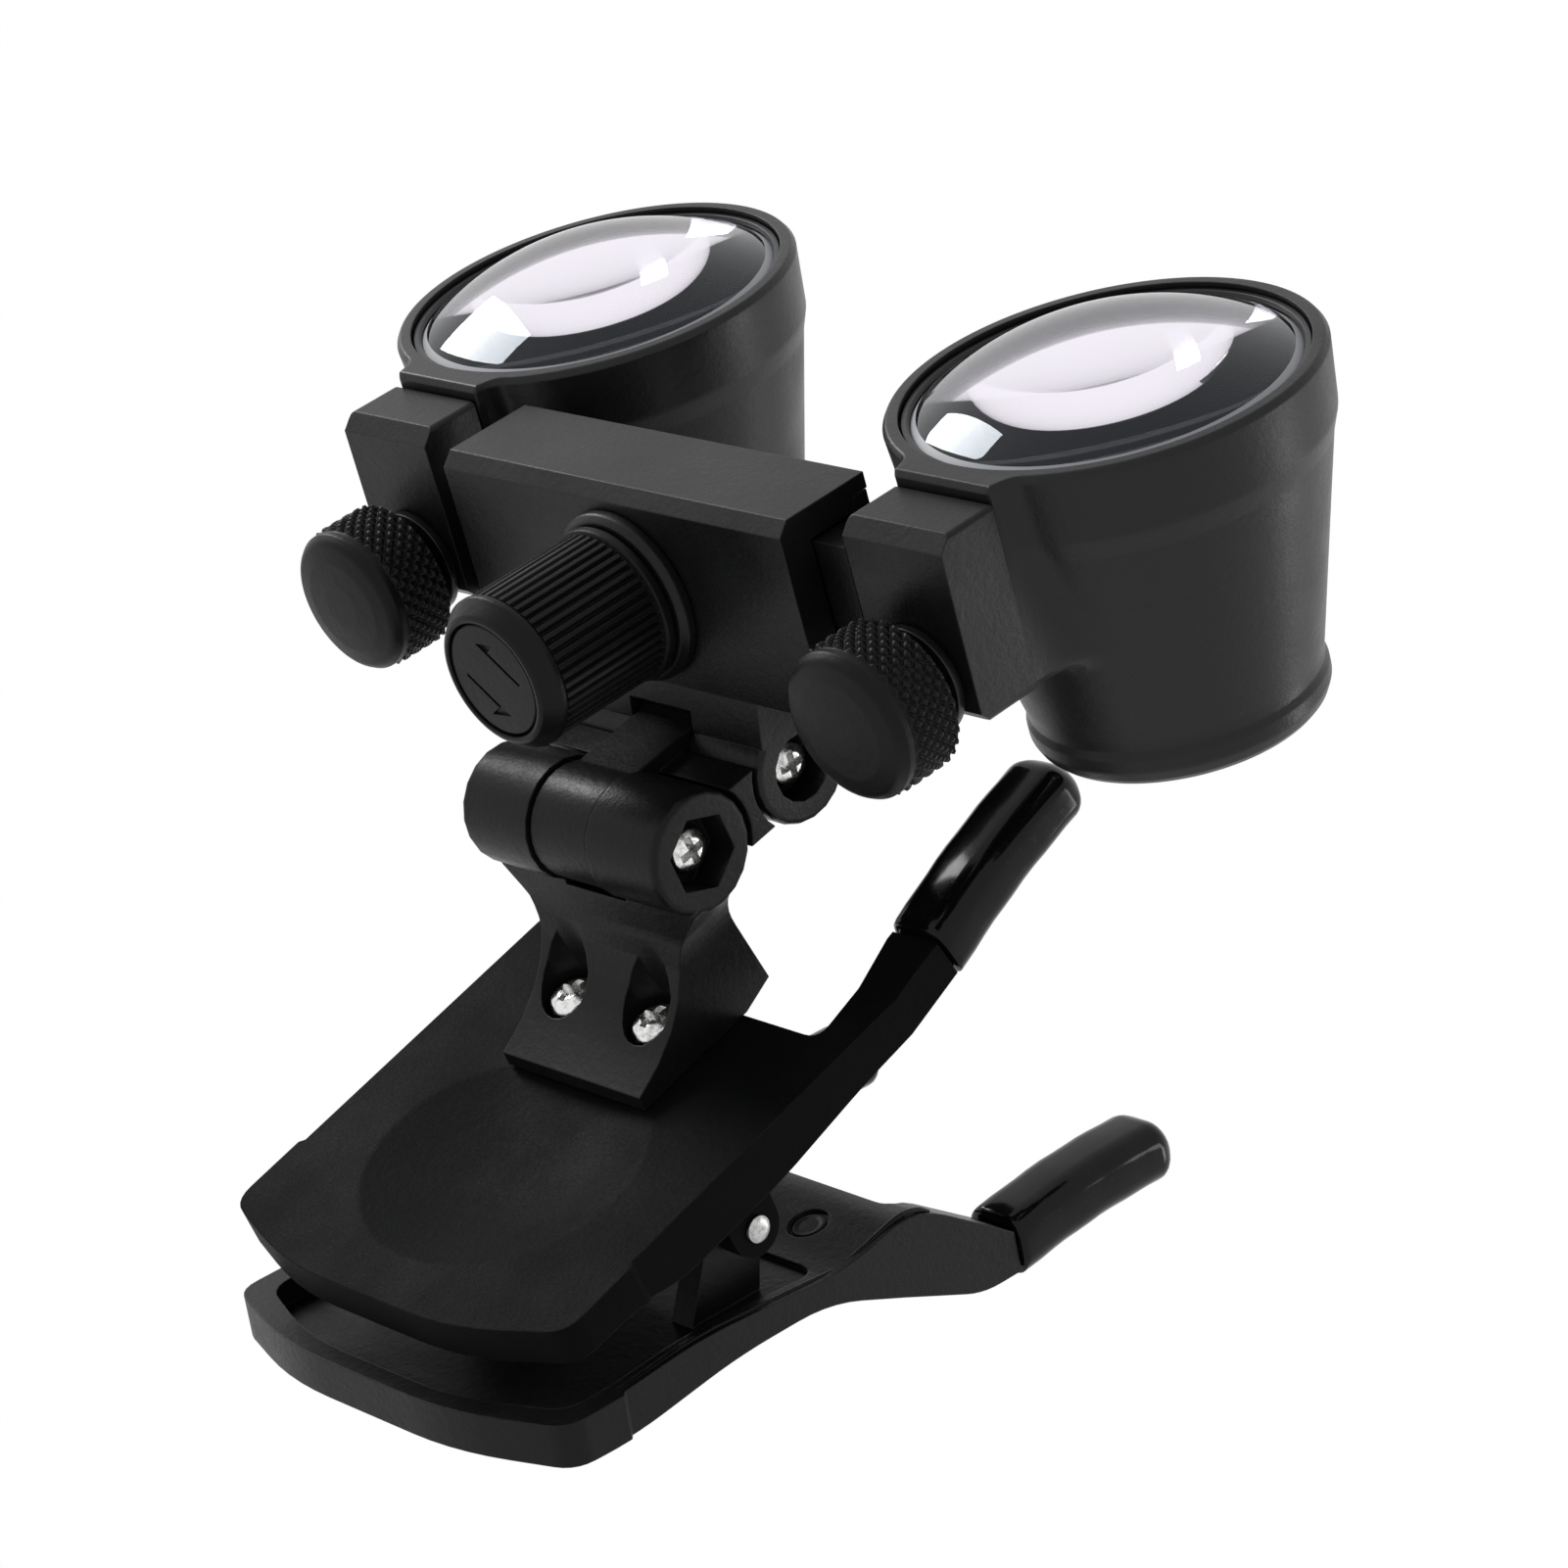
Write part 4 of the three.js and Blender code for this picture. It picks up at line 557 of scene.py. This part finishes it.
def dense(points, step):
    """The same line with no stretch along it longer than step."""
    made = [points[0]]
    for start, end in zip(points, points[1:]):
        count = max(1, math.ceil(abs(end[1] - start[1]) / step))
        made += [Vector(start).lerp(Vector(end), (i + 1) / count) for i in range(count)]
    return made


def front_lens(name, base):
    """A deep front lens with a hollow back and a bevelled edge."""
    rise, hollow, side, steps = 5.3, 1.0, -1.5, 28
    back, front = [], []
    for i in range(steps + 1):
        share = i / steps
        back.append(Vector((LENS_RIM * share, LENS_BACK + hollow * (1 - share**2))))
        radius = LENS_BEVEL * (1 - share)
        front.append(Vector((radius, LENS_EDGE + rise * (1 - (radius / LENS_RIM) ** 2))))
    profile = back + [Vector((LENS_RIM, side))] + front
    return turned(name, profile, along_y(base), segments=128, angle=30)


def grind(lens, base):
    """Gives the faces of the front bevel the ground look."""
    low, high = -1.4, -0.4
    lens.data.materials.append(GROUND)
    inverse = (Matrix.Scale(MM, 4) @ along_y(base)).inverted()
    for face in lens.data.polygons:
        centre = inverse @ face.center
        outside = centre.to_2d().length > LENS_BEVEL + PLAY
        face.material_index = 1 if outside and low < centre.z < high else 0


def barrel(side):
    base = barrel_frame(side)
    axis = along_y(base)
    body = f"{side}_barrel"
    outer = dense(barrel_outer(), step=0.7)
    shell = turned(f"{side}_tube", outer, axis, segments=240, swell=seat_boss, spread=close_to_seat)
    bore = turned("bore", barrel_bore(), axis, segments=160)
    deep, wide, clear = 14.5, 1.6, 20
    drill = [(0, deep), (wide, deep), (wide, clear), (0, clear)]
    hole = turned("hole", drill, base @ shift(0, -BARREL_OUT, 0), segments=32)
    carve(shell, bore, hole, angle=32)
    place(shell, body, TUBE, "barrel_plastic", f"{side}_barrel_shell")

    lens = front_lens(f"{side}_front_lens", base)
    place(lens, body, GLASS, "lens_glass", f"{side}_objective_lens")
    grind(lens, base)

    ring = turned(f"{side}_front_ring", fillet([
        (15.95, -0.8), (16.6, -0.8, 0.1), (16.6, -0.45, 0.1), (16.15, -0.45, 0.1), (15.95, -0.8),
    ]), axis, segments=128)
    place(ring, body, BLACKED, "ring_metal", f"{side}_retaining_ring")

    high = EYE_SEAT - PLAY
    low = high - 1.4
    radius, sunk, steps = 8.2, 0.9, 12
    hollow = [(radius * i / steps, low + sunk * (1 - (i / steps) ** 2)) for i in range(steps + 1)]
    eye = turned(f"{side}_eye_lens", hollow + [(10, low), (10, high), (0, high)], axis, angle=30)
    place(eye, body, GLASS, "lens_glass", f"{side}_eyepiece_lens")
    top = low - PLAY
    eye_ring = turned(f"{side}_eye_ring", fillet([
        (8.6, top), (10, top), (10, top - 1, 0.15), (9.0, top - 1, 0.25), (8.6, top - 0.6, 0.15), (8.6, top),
    ]), axis)
    place(eye_ring, body, BLACKED, "ring_metal", f"{side}_eyepiece_ring")


# Thumb screws with a crossed knurl


KNURL_COUNT = 32
KNURL_PITCH = 1.25
KNURL_DEPTH = 0.42
KNURL_LOW = 3.6
KNURL_HIGH = 7.9
KNURL_RADIUS = 6.62


def knurl(angle, radius, height):
    """Presses two crossed sets of slanting grooves into the rim."""
    edge, innermost, outermost, steepness = 0.05, 6.2, 6.7, 1.5
    if not innermost < radius < outermost or not KNURL_LOW - edge < height < KNURL_HIGH + edge:
        return radius
    around = KNURL_COUNT * angle / TAU
    along = (height - KNURL_LOW) / KNURL_PITCH
    peaks = [1 - abs(2 * ((around + way * along) % 1) - 1) for way in (1, -1)]
    return radius - KNURL_DEPTH * (1 - min(1, steepness * min(peaks)))


def thumb(side):
    base = thumb_frame(side)
    rows = 42
    step = (KNURL_HIGH - KNURL_LOW) / rows
    profile = fillet([
        (0, -9.5), (1.2, -9.5), (1.45, -9.2), (1.45, 1.95), (4, 1.95, 0.2), (4, 3.3, 0.3), (6.2, 3.3, 0.1),
        (6.55, KNURL_LOW),
    ])
    profile += [Vector((KNURL_RADIUS, KNURL_LOW + step * i)) for i in range(rows + 1)]
    profile += fillet([
        (6.6, 7.92), (6.32, 8.1, 0.05), (6.28, 8.3, 0.05), (6.42, 8.36, 0.05), (6.4, 8.9, 0.3),
        (5.9, 9.62, 1.2), (4.2, 9.98, 3), (2, 10.14, 3), (0, 10.18),
    ], 7)
    screw = turned(f"{side}_clamp_screw", profile, base, segments=KNURL_COUNT * 14, swell=knurl)
    place(screw, f"{side}_thumb", GRIP, "housing_plastic", f"{side}_thumb_screw")
    low, high = 0.85, 1.65
    washer = turned(f"{side}_clamp_washer", fillet([
        (1.7, low), (4.7, low, 0.15), (4.7, high, 0.15), (1.7, high), (1.7, low),
    ]), base, segments=72)
    place(washer, f"{side}_slide_body", BLACKED, "ring_metal", f"{side}_thumb_washer")


# Centre knob with fine ribs and a capped end


RIB_COUNT = 48
RIB_DEPTH = 0.42
CAP_FLOOR = 17.25
CAP_FACE = 18.25
ARROW_FLOOR = 18.0
ARROW_TURN = 143


def ribs(angle, radius, height):
    """Cuts rounded grooves along the knob's side."""
    core, low, high, steepness = 6, 5.55, 16.3, 1.7
    if radius < core or not low < height < high:
        return radius
    phase = (RIB_COUNT * angle / TAU) % 1
    crest = 0.5 - 0.5 * math.cos(TAU * phase)
    return radius - RIB_DEPTH * (1 - min(1, steepness * crest))


def arrow(name, turn):
    """A half-headed arrow to sink into the cap, turned by turn degrees."""
    half, offset, tail, tip = 0.16, -2.05, -2.6, 2.7
    neck, barb, reach = 1.3, 0.85, 1.55
    outline = [
        (tail, offset - half), (neck, offset - half), (barb, offset - reach), (tip, offset + half),
        (tail, offset + half),
    ]
    spun = KNOB @ Matrix.Rotation(math.radians(turn), 4, "Z")
    return prism(name, outline, ARROW_FLOOR, ARROW_FLOOR + 1, spun)


def centre_knob():
    bore, rib_radius, rib_low, rib_length, rows = 1.65, 6.65, 5.6, 10.65, 12
    profile = fillet([(bore, 4.55), (6.9, 4.55, 0.15), (6.9, 5.35, 0.2), (6.5, 5.5)])
    profile += [Vector((rib_radius, rib_low + rib_length * i / rows)) for i in range(rows + 1)]
    profile += fillet([
        (6.45, 16.32), (6.75, 16.5, 0.1), (6.75, 16.95, 0.25), (5.75, CAP_FACE, 0.3), (5.4, 18.4, 0.15),
        (5.12, 18.36, 0.1), (5.1, CAP_FLOOR), (bore, CAP_FLOOR), (bore, 4.55),
    ])
    knob = turned("ribbed_knob", profile, KNOB, segments=RIB_COUNT * 10, swell=ribs)
    place(knob, "knob", GRIP, "housing_plastic", "centre_knob")
    under = CAP_FLOOR + PLAY
    cap = turned("knob_end", fillet([
        (0, under), (4.9, under), (4.95, under + PLAY), (4.95, 18.1, 0.12), (4.8, CAP_FACE, 0.1),
        (0, CAP_FACE),
    ]), KNOB)
    carve(cap, arrow("one", ARROW_TURN), arrow("two", ARROW_TURN + 180))
    place(cap, "knob", GRIP, "moulded_plastic", "knob_cap")
    collar = turned("knob_collar", fillet([
        (bore, 0.1), (2.6, 0.1), (2.6, 2.95), (7.6, 2.95, 0.1), (7.6, 3.75, 0.4), (7.1, 4.25, 0.3),
        (bore, 4.25), (bore, 0.1),
    ]), KNOB)
    place(collar, "head", CASE, "housing_plastic", "knob_bush")


# Screws


def cross_cutter(radius, top, depth, matrix):
    """A tapered cross for a driver recess."""
    arm, half = radius * 0.62, radius * 0.17
    rings = []
    for share, z in ((0.45, top - depth), (1.0, top), (1.12, top + 0.3)):
        a, h = arm * share, half * (0.6 + 0.4 * share)
        corners = (
            (a, -h), (a, h), (h, h), (h, a), (-h, a), (-h, h), (-a, h), (-a, -h), (-h, -h), (-h, -a),
            (h, -a), (h, -h),
        )
        rings.append([(x, y, z) for x, y in corners])
    return loft("cross", rings, matrix)


def pan_screw(name, matrix, body, node, seat, top, radius, shank, end):
    """A pan-headed screw along z, its head between seat and top."""
    rise = top - seat
    profile = fillet([
        (0, end), (shank * 0.7, end), (shank, end + shank * 0.4), (shank, seat), (radius, seat, 0.08),
        (radius, seat + rise * 0.35, 0.2), (radius * 0.86, seat + rise * 0.78, 0.35),
        (radius * 0.5, top, 0.9), (0, top),
    ])
    screw = turned(name, profile, matrix, segments=48)
    carve(screw, cross_cutter(radius, top, rise * 0.75, matrix))
    place(screw, body, CHROME, "chrome_screw", node)


def screws():
    hinge = {"seat": 9.4, "top": 11.0, "radius": 2.1, "shank": 1.4, "end": -11.7}
    foot = {"seat": 2.4, "top": 4.0, "radius": 2.25, "shank": 1.0, "end": -3.6}
    for name, base, body in (("lower", LOWER, "front_jaw"), ("upper", HEAD, "head")):
        pan_screw(f"{name}_pivot_screw", along_x(base), body, f"{name}_hinge_screw", **hinge)
    foot_x, foot_z = 5.2, 5.9
    for side, sign in SIDES.items():
        base = along_y(CLIP @ shift(foot_x * sign, 0, foot_z))
        pan_screw(f"{side}_foot_screw", base, "front_jaw", f"{side}_bracket_screw", **foot)


# Sleeves, pin and spring of the clip


def sleeve_ring(width, depth, corner, z, bow):
    """A rounded rectangle as a ring of points at height z, moved sideways by bow."""
    points, steps = [], 6
    for cx, cy, start in ((1, 1, 0), (-1, 1, 90), (-1, -1, 180), (1, -1, 270)):
        for i in range(steps + 1):
            angle = math.radians(start + 90 * i / steps)
            x = (width / 2 - corner) * cx + corner * math.cos(angle)
            y = (depth / 2 - corner) * cy + corner * math.sin(angle) + bow
            points.append((x, y, z))
    return points


def sleeve(name, base, body, node):
    """A dipped sleeve: a slightly bowed pad with a round tip and a rolled mouth over a flat core."""
    length, tip, width, depth, corner = 19.6, 2.3, 6.5, 5.6, 2.0
    core_width, core_depth, core_corner, core_end, mouth = 4.69, 3.4, 0.5, -15, -0.32
    rolled_lip = ((5.9, 5.0, 1.75, -0.3), (6.4, 5.5, 1.95, -0.5))
    straight_from, tip_drop = -0.9, 0.3
    bend, uneven, rows, tip_rows = 0.55, 0.05, 12, 8

    def bow(z):
        return bend * math.sin(math.pi * min(1, max(0, -z / length)))

    rings = [sleeve_ring(core_width, core_depth, core_corner, z, 0) for z in (core_end, mouth)]
    rings += [sleeve_ring(*lip, 0) for lip in rolled_lip]
    straight = length - tip + straight_from + tip_drop
    for i in range(rows):
        z = straight_from - straight * i / (rows - 1)
        wave = uneven * math.sin(i * 1.7)
        rings.append(sleeve_ring(width + wave, depth + wave, corner, z, bow(z)))
    for i in range(1, tip_rows + 1):
        turn = math.radians(90 * i / tip_rows)
        shrink = 2 * tip * (1 - math.cos(turn))
        z = tip - length - tip_drop - tip * math.sin(turn)
        round_corner = min(corner, (depth - shrink) / 2 - 0.02)
        rings.append(sleeve_ring(width - shrink, depth - shrink, round_corner, z, bow(z)))
    made = loft(name, rings, base, 50)
    place(made, body, VINYL, "grip_sleeve", node)


def sleeves():
    arm_x, front_lean, rear_lean = 18.3, 10.2, 3
    for side, sign in SIDES.items():
        front = CLIP @ shift(arm_x * sign, -0.7, -12.4) @ lean(front_lean)
        sleeve(f"{side}_front_grip", front, "front_jaw", f"{side}_front_sleeve")
        rear = REAR @ shift(arm_x * sign, -13.9, -26) @ lean(rear_lean)
        sleeve(f"{side}_rear_grip", rear, "rear_jaw", f"{side}_rear_sleeve")


def pivot_pin():
    seat, end = 19.65, 20.05
    half = [(0, end), (0.55, end - 0.02), (0.95, end - 0.1), (1.15, end - 0.22), (1.2, seat), (0.85, seat)]
    profile = [Vector((r, -x)) for r, x in half] + [Vector((r, x)) for r, x in reversed(half)]
    made = turned("pivot_pin", profile, along_x(PIVOT), segments=48)
    place(made, "front_jaw", STEEL, "steel", "clip_pin")


COIL = 2.1
PITCH = 1.78
CURLS = 5.5
LEG = 14.0
LEG_LEAN = 2.7
WIRE = 0.58


def spring_point(along):
    """The middle of the wire, along millimetres from the end of its front leg."""
    half = CURLS * PITCH / 2
    coiled = TAU * COIL * CURLS
    if along < LEG:
        return Vector((-half, -COIL, LEG - along))
    if along > LEG + coiled:
        up = along - LEG - coiled
        return Vector((half, COIL + LEG_LEAN * (up / LEG) ** 2, up))
    turn = (along - LEG) / COIL
    across, up = COIL * math.cos(math.pi + turn), COIL * math.sin(math.pi + turn)
    return Vector((-half + PITCH * turn / TAU, across, up))


def spring():
    total = 2 * LEG + TAU * COIL * CURLS
    steps, sides = 260, 12
    points = [spring_point(total * i / steps) for i in range(steps + 1)]
    turns = [TAU * k / sides for k in range(sides)]
    rings, side = [], Vector((1, 0, 0))
    for i, point in enumerate(points):
        ahead = (points[min(i + 1, steps)] - points[max(i - 1, 0)]).normalized()
        side = (side - ahead * side.dot(ahead)).normalized()
        other = ahead.cross(side)
        rings.append([point + (side * math.cos(a) + other * math.sin(a)) * WIRE for a in turns])
    made = loft("torsion_wire", rings, PIVOT, 60)
    place(made, "front_jaw", STEEL, "steel", "clip_spring")


def edge_beads():
    """A thin raised line along each side of the rear plate's front face."""
    middle, half_width, height, root, arcs = 20.2, 0.24, 0.16, 0.2, 8
    path = fillet([
        (-9.6, -22.6), (-4.9, -15.6, 5.5), (-6.8, -7.5, 3.6), (-5.7, 6.5, 3.6), (-5.7, 10.4, 3), (-6.2, 17),
    ], 9)[1:]
    last = len(path) - 1
    for side, sign in SIDES.items():
        rings = []
        for i, (y, z) in enumerate(path):
            ahead = path[min(i + 1, last)] - path[max(i - 1, 0)]
            out = Vector((-ahead.y, ahead.x)).normalized()
            if out.x < 0:
                out = -out
            rise = height * min(1, i / 2, (last - i) / 2)
            ring = []
            for k in range(arcs + 1):
                angle = math.pi * k / arcs
                wide, high = half_width * math.cos(angle), rise * math.sin(angle)
                ring.append((middle * sign + wide, y + out.x * high, z + out.y * high))
            for wide in (-half_width, half_width):
                ring.append((middle * sign + wide, y - out.x * root, z - out.y * root))
            rings.append(ring)
        bead = loft(f"{side}_edge_bead", rings, REAR, 50)
        place(bead, "rear_jaw", BODY, "moulded_plastic")


def ejector_marks():
    """The low rough disc that an ejector leaves, in the plate's round recess."""
    profile = fillet([
        (0, -0.4), (1.5, -0.4), (1.5, -0.12, 0.05), (1.3, -0.04, 0.1), (0.9, -0.1, 0.1), (0, -0.07),
    ])
    recess_x, recess_y, recess_z, slope = 13.2, -6.2, -10.4, 13.2
    for side, sign in SIDES.items():
        base = REAR @ shift(recess_x * sign, recess_y, recess_z) @ lean(slope - 90)
        disc = turned(f"{side}_mark", profile, base, segments=64)
        place(disc, "rear_jaw", BODY, "moulded_plastic")


for side in SIDES:
    barrel(side)
    thumb(side)
centre_knob()
screws()
sleeves()
pivot_pin()
spring()
edge_beads()
ejector_marks()


# Stage, light and camera


SHOWN_TO = ("Is Camera Ray", "Is Glossy Ray", "Is Transmission Ray")
WHITE = (1, 1, 1, 1)
DIM = 0.52
FLOOR_HALF = 6.0
FLOOR_Z = -0.32
FLOOR_GLOW = 0.995
MIDDLE = Vector((0, 0.008, 0.012))
PHOTO_WIDTH = 1601
FOCAL_PIXELS = 5214
SENSOR = 36
EYE = Vector((0.3085, 0.23769, 0.20069))
BACK = Vector((0.716, 0.529, 0.456)).normalized()
UP = Vector((-0.18, 0.770, -0.613)).normalized()


def shown(tree):
    """1 where the background is seen, directly or by way of metal or glass."""
    path = tree.nodes.new("ShaderNodeLightPath")
    total = path.outputs[SHOWN_TO[0]]
    for name in SHOWN_TO[1:]:
        node = tree.nodes.new("ShaderNodeMath")
        node.operation = "MAXIMUM"
        tree.links.new(total, node.inputs[0])
        tree.links.new(path.outputs[name], node.inputs[1])
        total = node.outputs[0]
    return total


def floor():
    """A wide pale plane whose own light keeps it white where it is seen."""
    corners = ((-1, -1), (1, -1), (1, 1), (-1, 1))
    points = [(FLOOR_HALF * x, FLOOR_HALF * y, FLOOR_Z) for x, y in corners]
    mesh = bpy.data.meshes.new("floor")
    mesh.from_pydata(points, [], [(0, 1, 2, 3)])
    obj = bpy.data.objects.new("floor", mesh)
    bpy.context.scene.collection.objects.link(obj)
    material = bpy.data.materials.new("pale_floor")
    material.use_nodes = True
    tree = material.node_tree
    shader = tree.nodes["Principled BSDF"]
    shader.inputs["Base Color"].default_value = (0.9, 0.9, 0.9, 1)
    shader.inputs["Roughness"].default_value = 0.9
    glow = tree.nodes.new("ShaderNodeEmission")
    glow.inputs["Color"].default_value = WHITE
    mix = tree.nodes.new("ShaderNodeMixShader")
    part = tree.nodes.new("ShaderNodeMath")
    part.operation = "MULTIPLY"
    part.inputs[1].default_value = FLOOR_GLOW
    tree.links.new(shown(tree), part.inputs[0])
    tree.links.new(part.outputs[0], mix.inputs["Fac"])
    tree.links.new(shader.outputs["BSDF"], mix.inputs[1])
    tree.links.new(glow.outputs["Emission"], mix.inputs[2])
    tree.links.new(mix.outputs["Shader"], tree.nodes["Material Output"].inputs["Surface"])
    mesh.materials.append(material)


def world():
    """White where it is seen, and dimmer where it only lights."""
    made = bpy.data.worlds.new("studio")
    bpy.context.scene.world = made
    made.use_nodes = True
    tree = made.node_tree
    dim = tree.nodes["Background"]
    dim.inputs["Color"].default_value = (0.95, 0.97, 1, 1)
    dim.inputs["Strength"].default_value = DIM
    white = tree.nodes.new("ShaderNodeBackground")
    white.inputs["Color"].default_value = WHITE
    white.inputs["Strength"].default_value = 1.0
    last = tree.nodes.new("ShaderNodeMixShader")
    tree.links.new(shown(tree), last.inputs["Fac"])
    tree.links.new(dim.outputs["Background"], last.inputs[1])
    tree.links.new(white.outputs["Background"], last.inputs[2])
    tree.links.new(last.outputs["Shader"], tree.nodes["World Output"].inputs["Surface"])


def lamp(name, direction, distance, size, power, along=(0, 0, 1)):
    """A soft box towards direction, its first size along the given way."""
    data = bpy.data.lights.new(name, "AREA")
    data.shape = "RECTANGLE"
    data.size, data.size_y = size
    data.energy = power
    obj = bpy.data.objects.new(name, data)
    way = Vector(direction).normalized()
    obj.location = MIDDLE + way * distance
    wide = Vector(along)
    wide = (wide - way * wide.dot(way)).normalized()
    obj.rotation_euler = Matrix((wide, way.cross(wide), way)).transposed().to_euler()
    obj.visible_camera = False
    bpy.context.scene.collection.objects.link(obj)


def camera():
    """The photograph's camera, solved from points on the bar, the barrels and the clip."""
    data = bpy.data.cameras.new("camera")
    data.sensor_width = SENSOR
    data.lens = SENSOR * FOCAL_PIXELS / PHOTO_WIDTH
    data.clip_start, data.clip_end = 0.01, 20
    obj = bpy.data.objects.new("camera", data)
    side = UP.cross(BACK).normalized()
    up = BACK.cross(side).normalized()
    turn = Matrix((side, up, BACK)).transposed().to_4x4()
    obj.matrix_world = Matrix.Translation(EYE) @ turn
    bpy.context.scene.collection.objects.link(obj)
    bpy.context.scene.camera = obj


floor()
world()
lamp("window", (-0.74, 0.6, -0.2), distance=0.42, size=(0.24, 0.08), power=0.95, along=(0.35, 0.63, 0.24))
lamp("side", (0.5, -0.4, -0.77), distance=0.5, size=(0.3, 0.3), power=1.5)
camera()
bpy.context.scene.view_settings.view_transform = "Standard"
